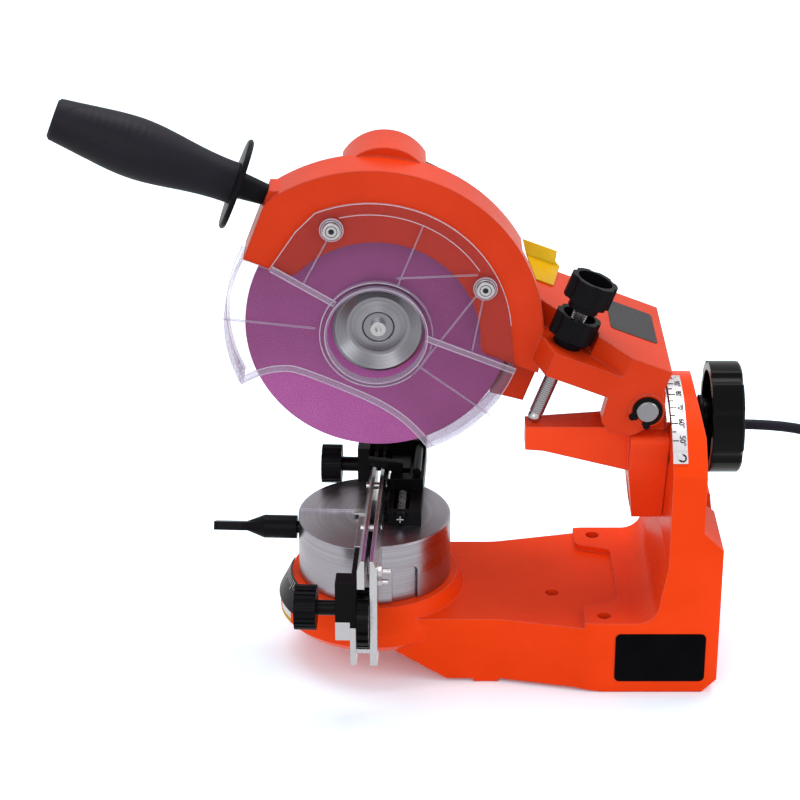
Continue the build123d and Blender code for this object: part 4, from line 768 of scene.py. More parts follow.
@dataclass(frozen=True)
class Foil:
    """Printed foil or painted sheet, with a fine mottled face."""

    name: str
    colour: Rgb
    gloss: float = 0.35
    shine: float = 0.5

    def material(self) -> bpy.types.Material:
        """Make the material."""
        r = Recipe(self.name)
        speck = r.noise(r.coords(), 900.0, 3.0)
        clouds = r.noise(r.coords(), 60.0, 3.0)
        colour = r.mixed(r.span(clouds, 0.35, 0.7, 0.0, 1.0), self.colour, tinted(self.colour, 1.15, 0.001))
        rough = r.span(speck, 0.3, 0.7, self.gloss - 0.05, self.gloss + 0.07)
        r.set(Specular_IOR_Level=self.shine)
        return r.wear(colour, rough, r.bump(speck, 0.1, 0.05, r.soft_edge(0.15)))


@dataclass(frozen=True)
class Laminated:
    """Stack of stamped steel sheets, seen edge on."""

    name: str
    colour: Rgb

    def material(self) -> bpy.types.Material:
        """Make the material."""
        r = Recipe(self.name)
        bands = r.node("ShaderNodeTexWave", {"wave_type": "BANDS", "bands_direction": "Y"},
                       {"Vector": r.coords(), "Scale": 320.0, "Distortion": 0.4}).outputs["Fac"]
        colour = r.mixed(bands, tinted(self.colour, 0.6), self.colour)
        r.set(Metallic=0.8, Roughness=0.5)
        return r.wear(colour, None, r.bump(bands, 0.4, 0.2))


class Finishes:
    """Every finish of the machine, made once."""

    def __init__(self) -> None:
        """Make the materials."""
        across = SPINDLE @ AXLE_IN
        even = (300.0, 300.0, 300.0)
        low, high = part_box("hinge_pin")
        pin_axis = Matrix.Translation((Vector(low) + Vector(high)) / 2 / MM) @ AXLE_IN
        self.base = Enamel("orange_enamel", (0.87, 0.054, 0.004), 0.3, 0.04).material()
        # Painted shade: the head wears a darker copy of the base's orange, standing in for the lower light on
        # the head.
        self.head = Enamel("orange_enamel_head_shaded", (0.63, 0.038, 0.004), 0.28, 0.10, 1.8).material()
        self.bracket = Enamel("orange_enamel_bracket", (0.84, 0.056, 0.008), 0.28, 0.10, 1.4).material()
        self.motor = Enamel("dark_enamel_motor", (0.30, 0.04, 0.012), 0.35).material()
        self.table = Turned("turned_alloy_table", (0.46, 0.44, 0.49), TABLE, 700.0, 0.03, 0.3).material()
        self.flange = Turned("turned_alloy_flange", (0.30, 0.30, 0.33), across, 420.0, 0.06, 0.26).material()
        self.jaw = Steel("ground_jaw_steel", (0.60, 0.60, 0.63), (500.0, 25.0, 500.0), 0.24, TABLE).material()
        self.zinc = Steel("zinc_plate", (0.56, 0.55, 0.57), even, 0.25).material()
        self.wire = Steel("dull_steel", (0.20, 0.20, 0.21), even, 0.3).material()
        self.thread = Steel("thread_steel", (0.52, 0.51, 0.53), (60.0, 60.0, 60.0), 0.3, None, 0.0).material()
        self.pin = Turned("turned_pin_end", (0.34, 0.34, 0.36), pin_axis, 900.0, 0.08, 0.26).material()
        self.strip = Steel("etched_scale_steel", (0.74, 0.73, 0.76), (30.0, 700.0, 700.0), 0.36).material()
        black = (0.0025, 0.0025, 0.003)
        self.black_steel = Moulded("blackened_steel", black, 0.3, 900.0, 0.06, 0.6, 0.08).material()
        soft_black = (0.0035, 0.0035, 0.005)
        self.plastic = Moulded("black_moulding", soft_black, 0.34, 1500.0, 0.08, 0.6, 0.07).material()
        deep_black = (0.0006, 0.0006, 0.001)
        self.glossy = Moulded("black_gloss_moulding", deep_black, 0.16, 1200.0, 0.03, 1.0, 0.12).material()
        self.grip = Grip("grip_rubber_skin", (0.011, 0.010, 0.015)).material()
        self.cord = Moulded("cord_sheath", (0.010, 0.009, 0.016), 0.42, 1800.0, 0.08, 0.4).material()
        grit = Grit("pink_grit", (0.50, 0.145, 0.41), (0.33, 0.08, 0.27), (0.66, 0.32, 0.57))
        self.abrasive = grit.material()
        self.lamination = Laminated("stator_sheets", (0.3, 0.3, 0.31)).material()
        self.clear = Clear("clear_moulding").material()
        self.bead = Clear("clear_moulding_trim", (0.62, 0.58, 0.72), 0.22, 0.6).material()
        # Painted highlight: milky pale finish for the beads laid along the guard's edges.
        self.highlight_bead = Clear("clear_moulding_painted_highlight", (0.90, 0.86, 0.95), 0.4, 0.8).material()
        self.ink = Foil("scale_ink", (0.02, 0.02, 0.025), 0.5, 0.1).material()
        self.white_ink = Foil("scale_white_ink", (0.75, 0.75, 0.75), 0.5).material()
        self.scale = Foil("black_scale_band", (0.010, 0.010, 0.013), 0.3, 0.15).material()
        self.label = Foil("black_label_foil", (0.001, 0.001, 0.002), 0.28, 0.03).material()
        self.rating = Foil("black_rating_foil", (0.016, 0.014, 0.018), 0.4, 0.3).material()
        self.yellow = Foil("yellow_tag_sheet", (0.58, 0.32, 0.004), 0.4, 0.08).material()
        # Painted light: a paler copy of the tag's yellow, for the standing leaf of the same folded sheet.
        self.lit_tag_yellow = Foil("yellow_tag_sheet_lit", (0.80, 0.66, 0.04), 0.4, 0.08).material()
        self.pale = Foil("pale_label_sheet", (0.70, 0.72, 0.68), 0.4, 0.2).material()
        self.rocker = Moulded("red_rocker", (0.40, 0.02, 0.015), 0.25, 1500.0, 0.05).material()

    def dress_nodes(self) -> None:
        """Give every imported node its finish."""
        wearing = {
            "base_casting": self.base, "head_casting": self.head, "tilt_bracket": self.bracket,
            "motor_shell": self.motor, "turntable_disc": self.table, "outer_flange": self.flange,
            "inner_flange": self.flange, "handwheel": self.glossy, "handle_grip": self.grip,
            "handle_collar": self.plastic, "angle_scale": self.strip, "table_scale": self.scale,
            "grinding_wheel": self.abrasive, "wheel_guard": self.clear, "switch_rocker": self.rocker,
            "stop_screw": self.black_steel, "stop_rod": self.black_steel, "hinge_pin": self.pin,
            "clamp_stud": self.black_steel,
        }
        slots = {
            Slot.JAW: self.jaw, Slot.ZINC: self.zinc, Slot.BLACK_STEEL: self.black_steel,
            Slot.PLASTIC: self.plastic, Slot.CORD: self.cord, Slot.LAMINATION: self.lamination,
            Slot.ALLOY: self.flange,
        }
        of_node = {part["node"]: part["material_slot"] for part in frame["record"]["subparts"]}
        for name, obj in frame["nodes"].items():
            material = wearing.get(name) or slots[Slot(of_node[name])]
            for slot in obj.material_slots:
                slot.material = material
            log.info("node %s wears %s", name, material.name)


# ------------------------------------------------------------------ studio

@dataclass
class Studio:
    """Camera, lamps and the pale floor."""

    eye: Point = (-0.1132, -1.255, 0.7357)
    tilt: float = 65.1
    lens: float = 112.5
    film: float = 36.0
    fill: float = 0.62
    fill_tint: Rgb = (0.97, 0.97, 1.0)
    room_seen: Rgb = (0.8, 0.8, 0.8)
    floor_side: float = 6.0
    floor_z: float = -0.0004
    floor_seen: Rgb = (1.14, 1.36, 1.48)
    aim: Point = (-0.08, 0.0, 0.12)
    lamps: tuple[tuple[str, Point, Flat, float, Rgb], ...] = (
        ("top_box", (-0.15, 0.45, 1.5), (1.6, 0.9), 17.0, (1.0, 1.0, 1.0)),
        ("front_box", (-0.5, -1.5, 0.9), (1.2, 1.0), 7.0, (1.0, 0.99, 0.98)),
        ("right_box", (1.2, -0.7, 0.8), (0.8, 1.1), 5.0, (1.0, 1.0, 1.0)),
    )

    def camera(self) -> None:
        """Stand the camera in front of the machine, looking down on it."""
        data = bpy.data.cameras.new("eye")
        data.lens = self.lens
        data.sensor_width = self.film
        obj = add_object("eye", data)
        obj.location = self.eye
        obj.rotation_euler = (math.radians(self.tilt), 0.0, 0.0)
        bpy.context.scene.camera = obj

    def light(self) -> None:
        """Hang the soft boxes, each with its place and sides in metres, its watts and its tint."""
        for name, place, size, power, tint in self.lamps:
            data = bpy.data.lights.new(name, "AREA")
            data.shape = "RECTANGLE"
            data.size, data.size_y = size
            data.energy = power
            data.color = tint
            obj = add_object(name, data)
            obj.location = place
            way = Vector(self.aim) - Vector(place)
            obj.rotation_euler = way.to_track_quat("-Z", "Y").to_euler()

    def floor(self) -> None:
        """Lay the pale floor, which keeps the machine's shadow."""
        mesh = bpy.data.meshes.new("floor")
        side = self.floor_side
        corners = [(-side, -side, 0), (side, -side, 0), (side, side, 0), (-side, side, 0)]
        mesh.from_pydata(corners, [], [(0, 1, 2, 3)])
        obj = add_object("floor", mesh)
        obj.location.z = self.floor_z
        r = Recipe("pale_floor")
        mottle = r.noise(r.coords(), 3.0, 2.0)
        r.set(Roughness=0.7, Specular_IOR_Level=0.2)
        r.wear(r.mixed(mottle, (0.88, 0.87, 0.89), (0.90, 0.89, 0.91)))
        to_eye = r.node("ShaderNodeBsdfDiffuse", None, {"Color": (*self.floor_seen, 1.0)})
        white = r.node("ShaderNodeEmission", None, {"Strength": 1.0})
        path = r.node("ShaderNodeLightPath").outputs
        mirrored = r.maths("MAXIMUM", path["Is Glossy Ray"], path["Is Transmission Ray"])
        lit = r.between(mirrored, r.shader.outputs["BSDF"], white.outputs["Emission"])
        r.show(r.between(path["Is Camera Ray"], lit, to_eye.outputs["BSDF"]))
        mesh.materials.append(r.material)
        obj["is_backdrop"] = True

    def world(self) -> None:
        """Fill the room with even light, paler where the eye, gloss or glass looks out."""
        world = bpy.data.worlds.new("room")
        bpy.context.scene.world = world
        world.use_nodes = True
        room = Nodes(world.node_tree)
        output = room.node("ShaderNodeOutputWorld")
        path = room.node("ShaderNodeLightPath").outputs
        dim, pale = (
            room.node("ShaderNodeBackground", None, {"Color": (*tint, 1.0), "Strength": strength})
            for tint, strength in ((self.fill_tint, self.fill), (self.room_seen, 1.0))
        )
        seen = path["Is Camera Ray"]
        for kind in ("Is Glossy Ray", "Is Transmission Ray"):
            seen = room.maths("MAXIMUM", seen, path[kind])
        shown = room.between(seen, dim.outputs["Background"], pale.outputs["Background"])
        room.join(shown, output.inputs["Surface"])

    def build(self) -> None:
        """Set the whole studio."""
        self.camera()
        self.world()
        self.light()
        self.floor()
        bpy.context.scene.view_settings.view_transform = "Standard"
        log.info("studio is set")


# ------------------------------------------------------------------ mains cord

@dataclass
class MainsCord:
    """Mains cord from the gland to the coil on the bench and on to its plug."""

    radius: float = 3.0
    route: tuple[Point, ...] = (
        (79, 42, 118.4), (112, 42, 118.2), (138, 42.3, 107), (155, 42.8, 84), (164, 43.5, 56),
        (171, 44.6, 32), (182, 45.8, 13.5), (198, 46.3, 4.6), (217, 46.2, 3.2),
    )
    coil: Flat = (222.0, 4.0)
    turns: tuple[Flat, ...] = ((42.6, 3.2), (36.1, 3.3), (29.6, 3.4), (29.7, 9.7), (36.2, 9.8), (42.5, 9.8))
    steps: int = 16
    meets_coil: float = 96.0
    leaves_early: float = 10.0
    keeps_turn: float = 0.55
    changes_turn: float = 0.45
    tail: tuple[Point, ...] = (
        (264.6, 0.0, 9.4), (264.6, -11.0, 7.8), (264.6, -21.0, 7.0), (264.6, -30.0, 7.0),
    )

    def points(self) -> list[Point]:
        """Control points of the whole cord, in millimetres."""
        points = list(self.route)
        cx, cy = self.coil
        first = self.meets_coil - 360.0 / self.steps
        last = -360.0 * len(self.turns) + self.leaves_early
        count = int((first - last) / 360.0 * self.steps)
        for step in range(count + 1):
            angle = first + (last - first) * step / count
            wound = min((self.meets_coil - angle) / 360.0, len(self.turns) - 1e-6)
            index = int(wound)
            ease = min(1.0, max(0.0, (wound - index - self.keeps_turn) / self.changes_turn))
            here = self.turns[index]
            there = self.turns[min(index + 1, len(self.turns) - 1)]
            radius = here[0] + (there[0] - here[0]) * ease
            height = here[1] + (there[1] - here[1]) * ease
            a = math.radians(angle)
            points.append((cx + radius * math.cos(a), cy + radius * math.sin(a), height))
        return points + list(self.tail)

    def build(self, finishes: Finishes) -> None:
        """Lay the cord."""
        points = self.points()
        curve = bpy.data.curves.new("mains_cord", "CURVE")
        curve.dimensions = "3D"
        curve.bevel_depth = self.radius * MM
        curve.bevel_resolution = 5
        curve.resolution_u = 6
        curve.use_fill_caps = True
        spline = curve.splines.new("NURBS")
        spline.points.add(len(points) - 1)
        for point, (x, y, z) in zip(spline.points, points):
            point.co = (x * MM, y * MM, z * MM, 1.0)
        spline.order_u = 3
        spline.use_endpoint_u = True
        curve.materials.append(finishes.cord)
        obj = add_object("mains_cord", curve)
        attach(obj, Body.BASE.value)
        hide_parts("cord", "cord_coil", "cord_tail")


# ------------------------------------------------------------------ base

@dataclass
class BaseUnit:
    """Plate, labels and scale marks on the base casting and its upright."""

    near_face: float = -57.0
    plate: tuple[float, float, float, float] = (6.0, 56.0, 7.0, 37.0)
    plate_corner: float = 3.0
    plate_lift: Flat = (0.02, 0.45)
    scale_r: float = 68.3
    tilt_z: float = 97.0
    strip_left: float = 33.5
    scale_start: float = 50.0
    scale_step: float = 0.9
    marks: range = range(50, 95, 5)
    numbers: range = range(50, 95, 10)
    tick_gap: float = 0.15
    tick_long: Flat = (3.4, 2.1)
    tick_half: float = 0.2
    ink_lift: float = 0.3
    number_x: float = 5.4
    number_size: float = 4.5
    number_thick: float = 0.04
    rivet: Flat = (5.0, 41.6)
    rivet_ring: tuple[Flat, ...] = ((1.5, 0.0), (2.3, 0.0), (2.3, 0.25), (1.9, 0.45), (1.5, 0.25))
    seat_low: Flat = (54.0, 34.0)
    seat_high: Flat = (47.0, 47.8)
    seat_marks: range = range(168, 225, 3)
    seat_major: int = 5
    seat_tick_ends: Flat = (6.5, 4.5)
    seat_tick_start: float = 0.8
    seat_tick_half: float = 0.16
    seat_tick_lift: float = 0.78
    seat_tick_thick: float = 0.07
    label_angles: Flat = (194.0, 209.0)
    label_thick: float = 0.05
    label_steps: int = 12
    pale_field: tuple[Flat, ...] = ((54.12, 33.4), (54.12, 29.4))
    yellow_field: tuple[Flat, ...] = ((54.12, 29.3), (54.12, 26.6), (52.52, 24.9))

    def plate_piece(self, finishes: Finishes) -> None:
        """Bare black plate on the near side."""
        x0, x1, z0, z1 = self.plate
        middle = move((x0 + x1) / 2, self.near_face, (z0 + z1) / 2) @ AXLE_IN
        plate = Shape().slab(rounded(x1 - x0, z1 - z0, self.plate_corner), *self.plate_lift)
        plate.placed(middle).piece("near_side_plate", finishes.label, Body.BASE)

    def angle_marks(self, finishes: Finishes) -> None:
        """Ticks and numbers of the curved angle scale."""
        marks = Shape()
        left, half = self.strip_left + self.tick_gap, self.tick_half
        for angle in self.marks:
            long = self.tick_long[0 if angle in self.numbers else 1]
            place = self.on_scale(self.elevation(angle), 0.0)
            marks.box(place, (left, -half, 0.0), (left + long, half, self.ink_lift))
        marks.piece("angle_ticks", finishes.ink, Body.BASE)
        for angle in self.numbers:
            self.number(f"angle_{angle}", f"{angle}°", self.elevation(angle), finishes.ink)

    def elevation(self, mark: float) -> float:
        """Elevation on the arc at which a mark of the scale stands, in degrees."""
        return self.scale_start + (mark - self.scale_start) * self.scale_step

    def on_scale(self, angle: float, lift: float) -> Matrix:
        """Frame on the curved scale: x to the right, y up along the arc, z outwards.

        Args:
            angle: elevation in degrees.
            lift: distance above the strip.

        Returns:
            The frame in millimetres.
        """
        a = math.radians(angle)
        out = Vector((0.0, -math.cos(a), math.sin(a)))
        rise = Vector((0.0, math.sin(a), math.cos(a)))
        place = Matrix.Identity(4)
        place.col[0][:3] = (1.0, 0.0, 0.0)
        place.col[1][:3] = rise
        place.col[2][:3] = out
        place.translation = Vector((0.0, 0.0, self.tilt_z)) + out * (self.scale_r + lift)
        return place

    def number(self, name: str, words: str, angle: float, material: bpy.types.Material) -> None:
        """Write one number on the curved scale, reading down the arc.

        Args:
            name: name of the piece.
            words: the number.
            angle: elevation in degrees.
            material: its ink.
        """
        data = bpy.data.curves.new(name, "FONT")
        data.body = words
        data.size = self.number_size * MM
        data.extrude = self.number_thick * MM
        data.resolution_u = 3
        data.align_x = "CENTER"
        data.align_y = "CENTER"
        data.materials.append(material)
        obj = add_object(name, data)
        turned = self.on_scale(angle, self.ink_lift) @ move(self.strip_left + self.number_x, 0.0, 0.0)
        turned = turned @ turn(-90.0, "Z")
        obj.matrix_world = Matrix.Translation(turned.translation * MM) @ turned.to_3x3().to_4x4()
        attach(obj, Body.BASE.value)

    def table_marks(self, finishes: Finishes) -> None:
        """White ticks on the black band round the turntable seat."""
        marks = Shape()
        low, high = (Vector((r, 0.0, z)) for r, z in (self.seat_low, self.seat_high))
        way = (high - low).normalized()
        out = Vector((way.z, 0.0, -way.x))
        half = Vector((0.0, self.seat_tick_half, 0.0))
        lift = out * self.seat_tick_lift
        end = high - way * self.seat_tick_start
        for index, angle in enumerate(self.seat_marks):
            start = high - way * self.seat_tick_ends[0 if index % self.seat_major == 0 else 1]
            ring = move(TABLE_X, 0.0, 0.0) @ turn(angle, "Z")
            corners = [start - half + lift, end - half + lift, end + half + lift, start + half + lift]
            top = [c + out * self.seat_tick_thick for c in corners]
            ends: list[tuple[int, ...]] = [(3, 2, 1, 0), (4, 5, 6, 7)]
            marks.add([ring @ c for c in corners + top], ends + walls(4, 0, 4))
        marks.piece("table_ticks", finishes.white_ink, Body.BASE)

    def wall_band(self, name: str, profile: tuple[Flat, ...], material: bpy.types.Material) -> None:
        """Foil round a part of the wall of the turntable's seat.

        Args:
            name: name of the piece.
            profile: (radius, height) points down the wall.
            material: its finish.
        """
        section = [*profile, *((r - self.label_thick, z) for r, z in reversed(profile))]
        start, end = self.label_angles
        sections = []
        for step in range(self.label_steps + 1):
            a = math.radians(start + (end - start) * step / self.label_steps)
            sections.append([Vector((TABLE_X + r * math.cos(a), r * math.sin(a), z)) for r, z in section])
        Shape().swept(sections, False).piece(name, material, Body.BASE)

    def end_label(self, finishes: Finishes) -> None:
        """Bare label round the left end of the seat: a pale field over a yellow one."""
        self.wall_band("end_label_top", self.pale_field, finishes.pale)
        self.wall_band("end_label", self.yellow_field, finishes.yellow)

    def eyelet(self, finishes: Finishes) -> None:
        """Ring round the lower rivet of the curved scale."""
        right, angle = self.rivet
        place = self.on_scale(angle, 0.0) @ move(self.strip_left + right, 0.0, 0.0)
        Shape().turned(list(self.rivet_ring), place, 32).piece("scale_rivet_ring", finishes.ink, Body.BASE)

    def build(self, finishes: Finishes) -> None:
        """Make every piece of the base."""
        self.plate_piece(finishes)
        self.angle_marks(finishes)
        self.table_marks(finishes)
        self.end_label(finishes)
        self.eyelet(finishes)


# ------------------------------------------------------------------ vise

@dataclass
class ChainVise:
    """Spring and small fittings of the chain vise."""

    spring_x: float = 15.5
    spring_z: float = 89.0
    spring_r: float = 2.5
    wire_r: float = 0.36
    start: float = -11.0
    end: float = 13.0
    inset: float = 0.4
    coils: int = 12
    coil_steps: int = 16
    jaw_side: float = 6.2
    bolt_y: float = -77.0
    bolts: tuple[Triple, ...] = ((87.7, 2.9, 7.4), (81.4, 2.4, 6.0))
    nut_high: float = 2.6
    shank_r: float = 1.5
    chamfer: float = 0.4
    cross_half: Flat = (2.0, 0.3)
    cross_lift: float = 0.05
    cross_z: Flat = (-0.4, 0.1)
    table_top: float = 83.7
    stop_x: Flat = (-11.5, -4.2)
    stop_y: Flat = (-4.5, 2.0)
    stop_z: Flat = (-0.02, 0.9)

    def spring(self, finishes: Finishes) -> None:
        """Return spring of the chain stop, as a wound wire."""
        path = []
        steps = self.coils * self.coil_steps
        for step in range(steps + 1):
            a = 2 * math.pi * self.coils * step / steps
            along = self.start + self.inset + (self.end - self.start - 2 * self.inset) * step / steps
            path.append(Vector((self.spring_x + self.spring_r * math.cos(a), along,
                                self.spring_z + self.spring_r * math.sin(a))))
        shape = Shape().rope(path, self.wire_r, 6).placed(TABLE)
        shape.piece("stop_spring_wire", finishes.wire, Body.TABLE, Slot.JAW, ("stop_spring",), 60.0)

    def side_bolts(self, finishes: Finishes) -> None:
        """Two small bolts with their nuts on the outside of the fixed jaw."""
        shape = Shape()
        for z, head, shank in self.bolts:
            place = TABLE @ move(self.jaw_side, self.bolt_y, z) @ turn(90.0, "Y")
            shape.turned(self.stud(head, 0.0, self.nut_high), place, 6)
            shape.turned(self.stud(self.shank_r, self.nut_high, shank), place, 24)
        shape.piece("fixed_jaw_bolts", finishes.zinc, Body.TABLE, Slot.ZINC)

    def stud(self, radius: float, low: float, high: float) -> list[Flat]:
        """Profile of a round or six-sided stud with its far edge broken."""
        edge = self.chamfer
        return [(CORE, low), (radius, low), (radius, high - edge), (radius - edge, high), (CORE, high)]

    def screw_cross(self, finishes: Finishes) -> None:
        """Bright cross on the worn head of the stop's screw."""
        low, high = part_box("stop_screw")
        face = TABLE.inverted() @ ((Vector(low) + Vector(high)) / 2 / MM)
        place = TABLE @ move(face.x, low[1] / MM - self.cross_lift, face.z) @ AXLE_IN
        back, front = self.cross_z
        cross = Shape()
        for x, y in (self.cross_half, self.cross_half[::-1]):
            cross.box(place, (-x, -y, back), (x, y, front))
        cross.piece("stop_screw_cross", finishes.zinc, Body.TABLE, Slot.ZINC)

    def step_stop(self, finishes: Finishes) -> None:
        """Small polished stop at the end of the step on the turntable."""
        low, high = zip(self.stop_x, self.stop_y, self.stop_z)
        stop = Shape().box(TABLE @ move(0.0, 0.0, self.table_top), low, high)
        stop.piece("step_stop", finishes.zinc, Body.TABLE, Slot.ZINC)

    def build(self, finishes: Finishes) -> None:
        """Make every piece of the vise."""
        self.spring(finishes)
        self.side_bolts(finishes)
        self.screw_cross(finishes)
        self.step_stop(finishes)


# ------------------------------------------------------------------ depth stop

@dataclass
class DepthStop:
    """Threaded depth stop with its domed end."""

    u: float = -51.4
    y: float = -14.5
    outer_r: float = 4.0
    root_r: float = 3.35
    pitch: float = 1.25
    flank: Triple = (0.12, 0.46, 0.66)
    tip: float = -31.73
    top: float = 44.5
    run_in: float = 0.6
    dome: tuple[Flat, ...] = ((CORE, 0.0), (2.2, 0.25), (3.4, 1.3), (3.75, 2.6))
    collar_r: float = 3.75
    end_long: float = 3.0
    end_r: float = 3.0
    end_edge: float = 0.8
    steps: int = 28

    def thread(self, low: float) -> Shape:
        """Wound ridge of the thread.

        Args:
            low: height at which it starts.

        Returns:
            The open band of the thread, closed by the core inside.
        """
        foot, crest, back = self.flank
        profile = ((self.root_r, 0.0), (self.root_r, foot), (self.outer_r, crest), (self.outer_r, back))
        count, total = len(profile), int((self.top - low) / self.pitch) * self.steps
        points: list[Vector] = []
        for step in range(total + 1):
            a = 2 * math.pi * step / self.steps
            rise = low + self.pitch * step / self.steps
            points += [Vector((r * math.cos(a), r * math.sin(a), rise + share * self.pitch))
                       for r, share in profile]
        faces: list[tuple[int, ...]] = []
        for step in range(total):
            a, b, up = step * count, (step + 1) * count, (step + self.steps) * count
            faces += [(a + i, b + i, b + i + 1, a + i + 1) for i in range(count - 1)]
            if up < total * count:
                faces.append((a + count - 1, b + count - 1, up + count, up))
        return Shape().add(points, faces)

    def build(self, finishes: Finishes) -> None:
        """Make the threaded rod with its domed lower end and its flat upper end."""
        low, end = self.tip + self.run_in, self.top
        rod = self.thread(low)
        dome = [(r, self.tip - self.outer_r + h) for r, h in self.dome]
        core = [(self.root_r, low), (self.root_r, low + self.pitch), (CORE, low + self.pitch)]
        rod.lathe([*dome, (self.collar_r, low - self.run_in), *core], 32)
        rod.lathe([(CORE, end - self.end_long), (self.root_r, end - self.end_long),
                   (self.root_r, end - self.end_edge), (self.end_r, end), (CORE, end)], 32)
        rod = rod.placed(HEAD @ move(self.u, self.y, 0.0))
        rod.piece("depth_stop_thread", finishes.thread, Body.STOP, Slot.ZINC, ("depth_stop_rod",), 50.0)


# ------------------------------------------------------------------ head

@dataclass
class ClearGuard:
    """Clear guard over the wheel: plate, hub collar, ribs, rims and skirt, drawn from its centre."""

    centre: Flat = (-152.8, -20.0)
    back: float = 15.1
    front: float = 17.0
    proud: float = 1.5
    skirt_far: float = -3.7
    wall: float = 1.8
    hub: Flat = (2.8, 2.4)
    hole_r: float = 26.5
    upper_r: float = 76.5
    upper_angles: Flat = (133.0, 26.0)
    left_arc: tuple[Flat, Flat] = ((75.6, 82.0), (222.5, 168.0))
    right_arc: tuple[Flat, Flat] = ((81.2, 73.6), (7.0, -43.5))
    shoulder: tuple[Flat, ...] = ((-64.0, 17.0), (-58.2, 42.3))
    window: tuple[Flat, ...] = (
        (-55.5, -51.0), (-47.0, -41.8), (-37.6, -35.9), (-26.0, -33.6), (10.6, -35.4), (29.5, -38.9),
        (42.0, -44.0), (53.4, -50.6),
    )
    rim: float = 3.4
    bar_wide: float = 3.0
    rib_wide: float = 0.9
    rib_high: float = 0.9
    collar: Flat = (1.3, 2.6)
    ring: Triple = (3.6, 4.3, 0.8)
    boss: Triple = (2.6, 6.4, 6.2)
    bead_r: float = 0.24
    bead_lift: float = 0.15
    bead_step: float = 0.8
    inner_line: Triple = (70.2, 54.0, 124.0)
    ring_line: Triple = (4.0, 75.0, 330.0)
    boss_line: float = 6.3
    washer: tuple[float, float, float, float] = (4.9, 5.4, 0.02, 0.5)
    socket_r: float = 1.7
    groove: Flat = (2.9, 3.3)
    socket_z: Flat = (1.75, 2.62)
    screws: tuple[Flat, ...] = ((-40.9, 50.7), (47.7, 48.8))
    bars: tuple[tuple[Flat, Flat], ...] = (((-63.5, 17.0), (-24.7, 10.1)), ((28.5, 9.0), (80.6, 8.2)))
    ribs: tuple[tuple[Flat, Flat], ...] = (
        ((-78.0, -18.8), (-29.0, -6.0)), ((-41.3, 44.7), (-44.8, 15.2)), ((3.3, 69.6), (2.9, 33.1)),
        ((1.5, 36.7), (41.4, 54.1)), ((44.6, 43.8), (30.5, -8.5)), ((48.4, 42.6), (54.3, 11.2)),
        ((29.7, -6.7), (77.8, -20.3)),
    )

    def place(self) -> Matrix:
        """Frame at the guard's centre: x along the arm, y up, z towards the user."""
        return HEAD @ move(self.centre[0], 0.0, self.centre[1]) @ AXLE_IN

    def outline(self) -> list[Flat]:
        """Outer edge of the plate, counter-clockwise from the window's left end."""
        left = arc((0.0, 0.0), *self.left_arc, 24)
        right = arc((0.0, 0.0), *self.right_arc, 24)
        upper = arc((0.0, 0.0), (self.upper_r, self.upper_r), self.upper_angles, 48)
        clockwise = left + list(self.shoulder) + upper + right
        return smooth_line(self.window)[:-1] + clockwise[::-1][:-1]

    def plate(self, finishes: Finishes) -> None:
        """Plate with its hole, and the skirt behind its free edge."""
        guard = Shape()
        hole = arc(self.hub, (self.hole_r, self.hole_r), (360.0, 0.0), 72)[:-1]
        guard.sheet(self.outline(), [hole], self.back, self.front)
        for radii, angles in (self.left_arc, self.right_arc):
            line = arc((0.0, 0.0), radii, angles, 24)
            guard.slab(band_of(line, -self.wall)[::-1], self.skirt_far, self.back)
        guard = guard.placed(self.place())
        guard.piece("clear_guard", finishes.clear, Body.HEAD, Slot.CLEAR, ("wheel_guard",))

    def trims(self, finishes: Finishes) -> None:
        """Raised bars, ribs, rims, hub collar and bosses on the plate."""
        trim = Shape()
        top = self.front + self.proud
        for bar in self.bars:
            trim.slab(band_of(list(bar), self.bar_wide), self.front, top)
        for rib in self.ribs:
            trim.slab(band_of(list(rib), self.rib_wide), self.front, self.front + self.rib_high)
        trim.slab(band_of(smooth_line(self.window), self.rim), self.front, self.front + self.rib_high)
        hub = move(*self.hub, 0.0)
        for inner, outer, high in ((0.0, *self.collar), self.ring):
            section = tube(self.hole_r + inner, self.hole_r + outer, self.back, self.front + high)
            trim.turned(section, hub, 96)
        bore, foot, head = self.boss
        for u, v in self.screws:
            section = [(bore, self.front), (foot, self.front), (head, top), (bore, top)]
            trim.turned(section, move(u, v, 0.0), 40)
        trim.placed(self.place()).piece("guard_trims", finishes.bead, Body.HEAD, Slot.CLEAR)

    def lines(self, finishes: Finishes) -> None:
        """Fine pale beads along the edges of the plate and its trims: painted highlights where the clear
        edges catch the light.
        """
        # Painted highlights: a thin milky rope along each edge of the guard.
        highlight_beads = Shape()
        face, top = self.front + self.bead_lift, self.front + self.proud
        raised = face + self.bead_step
        left, right = self.upper_angles
        edge = arc((0.0, 0.0), (self.upper_r, self.upper_r), (right, left), 60)
        edge += reversed(self.shoulder)
        far, start, end = self.inner_line
        inner = arc((0.0, 0.0), (far, far), (start, end), 48)
        window = smooth_line(self.window)
        rim = band_of(window, self.rim)[len(window):]
        runs = [(edge, face), (inner, face), (window, raised), (rim, raised)]
        runs += [(band_of(list(bar), self.bar_wide), top) for bar in self.bars]
        wide, high = self.collar
        runs.append((circle(self.hub, self.hole_r + wide), self.front + high))
        wide, start, end = self.ring_line
        runs.append((arc(self.hub, (self.hole_r + wide,) * 2, (start, end), 96), raised))
        runs += [(circle(screw, self.boss_line, 40), top) for screw in self.screws]
        for radii, angles in (self.left_arc, self.right_arc):
            line = arc((0.0, 0.0), radii, angles, 30)
            runs += [(line, self.front), (line, self.skirt_far)]
        for line, height in runs:
            highlight_beads.rope([Vector((x, y, height)) for x, y in line], self.bead_r, 6)
        highlight_beads = highlight_beads.placed(self.place())
        highlight_beads.piece("guard_edge_highlights", finishes.highlight_bead, Body.HEAD, Slot.CLEAR, (), 60.0)

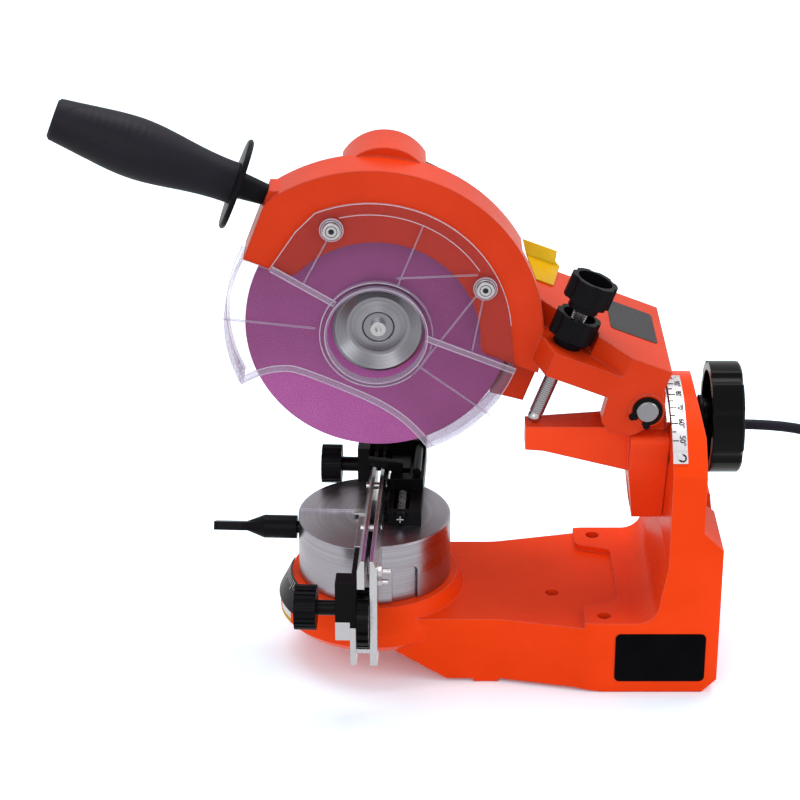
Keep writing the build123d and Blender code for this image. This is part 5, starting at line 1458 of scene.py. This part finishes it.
    def sockets(self, finishes: Finishes) -> None:
        """Washers of the two screws, and black hexagons and rings on their heads: painted shade of the
        sockets and grooves.
        """
        dark, bright = Shape(), Shape()
        for u, v in self.screws:
            head = move(u, v, self.front + self.proud)
            # Painted shade: black hexagon and ring laid where the socket and groove recesses are.
            dark.turned(tube(CORE, self.socket_r, *self.socket_z), head, 6)
            dark.turned(tube(*self.groove, *self.socket_z), head, 40)
            bright.turned(tube(*self.washer), head, 40)
        dark.placed(self.place()).piece("guard_screw_socket_shade", finishes.ink, Body.HEAD)
        bright.placed(self.place()).piece("guard_screw_washers", finishes.zinc, Body.HEAD, Slot.ZINC)

    def build(self, finishes: Finishes) -> None:
        """Make every piece of the guard."""
        self.plate(finishes)
        self.trims(finishes)
        self.lines(finishes)
        self.sockets(finishes)


@dataclass
class GrindingHead:
    """Bare plate and tag on the arm of the head."""

    arm_top: float = 25.0
    plate_at: Flat = (-15.2, 21.5)
    plate_size: Triple = (27.7, 41.0, 2.5)
    plate_lift: Flat = (0.02, 0.3)
    tag_near: float = 32.0
    tag_far: float = 66.5
    tag_left: float = -76.0
    tag_wide: float = 20.5
    tag_lift: Flat = (0.1, 0.9)
    tag_flap: Flat = (4.0, 14.5)
    leaf_half: float = 0.4
    leaf_top: tuple[Flat, ...] = ((17.0, 2.6), (15.5, 8.4), (-5.6, 8.4))

    def rating_plate(self, finishes: Finishes) -> None:
        """Bare rating plate on top of the arm."""
        plate = Shape().slab(rounded(*self.plate_size), *self.plate_lift)
        plate = plate.placed(HEAD @ move(*self.plate_at, self.arm_top))
        plate.piece("rating_plate", finishes.rating, Body.HEAD)

    def yellow_tag(self, finishes: Finishes) -> None:
        """Folded yellow tag: a flap on the arm and a leaf that stands at its far edge. The leaf wears a paler
        copy of the same yellow: painted light on the leaf.
        """
        near, far, left, right = self.tag_near, self.tag_far, self.tag_left, self.tag_left + self.tag_wide
        place = HEAD @ move(0.0, 0.0, self.arm_top)
        flap = [*((left + x, near) for x in self.tag_flap), (right, far), (left, far)]
        tag = Shape().slab(flap, *self.tag_lift).placed(place)
        tag.piece("yellow_tag", finishes.yellow, Body.HEAD)
        foot = self.tag_lift[0]
        outline = [(left, foot), (right, foot), *((left + x, z) for x, z in self.leaf_top)]
        leaf = Shape().slab(outline, -self.leaf_half, self.leaf_half)
        leaf = leaf.placed(place @ move(0.0, far, 0.0) @ AXLE_IN)
        # Painted light: the leaf wears the paler, lit copy of the tag's yellow.
        leaf.piece("yellow_tag_leaf", finishes.lit_tag_yellow, Body.HEAD)

    def build(self, finishes: Finishes) -> None:
        """Make every piece of the head."""
        self.rating_plate(finishes)
        self.yellow_tag(finishes)


def dump_size(key: str, sizes: dict[str, list[list[float]]]) -> None:
    """Note the box of what shows at this moment."""
    low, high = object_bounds()
    sizes[key] = [list(low), list(high)]


def main() -> None:
    """Build the sharpener and its studio."""
    logging.basicConfig(level=logging.INFO, format="%(message)s")
    sizes: dict[str, list[list[float]]] = {}
    dump_size("cad", sizes)
    finishes = Finishes()
    MainsCord().build(finishes)
    finishes.dress_nodes()
    BaseUnit().build(finishes)
    ChainVise().build(finishes)
    DepthStop().build(finishes)
    GrindingHead().build(finishes)
    ClearGuard().build(finishes)
    Studio().build()
    bpy.context.view_layer.update()
    dump_size("visual", sizes)


if __name__ == "__main__":
    main()
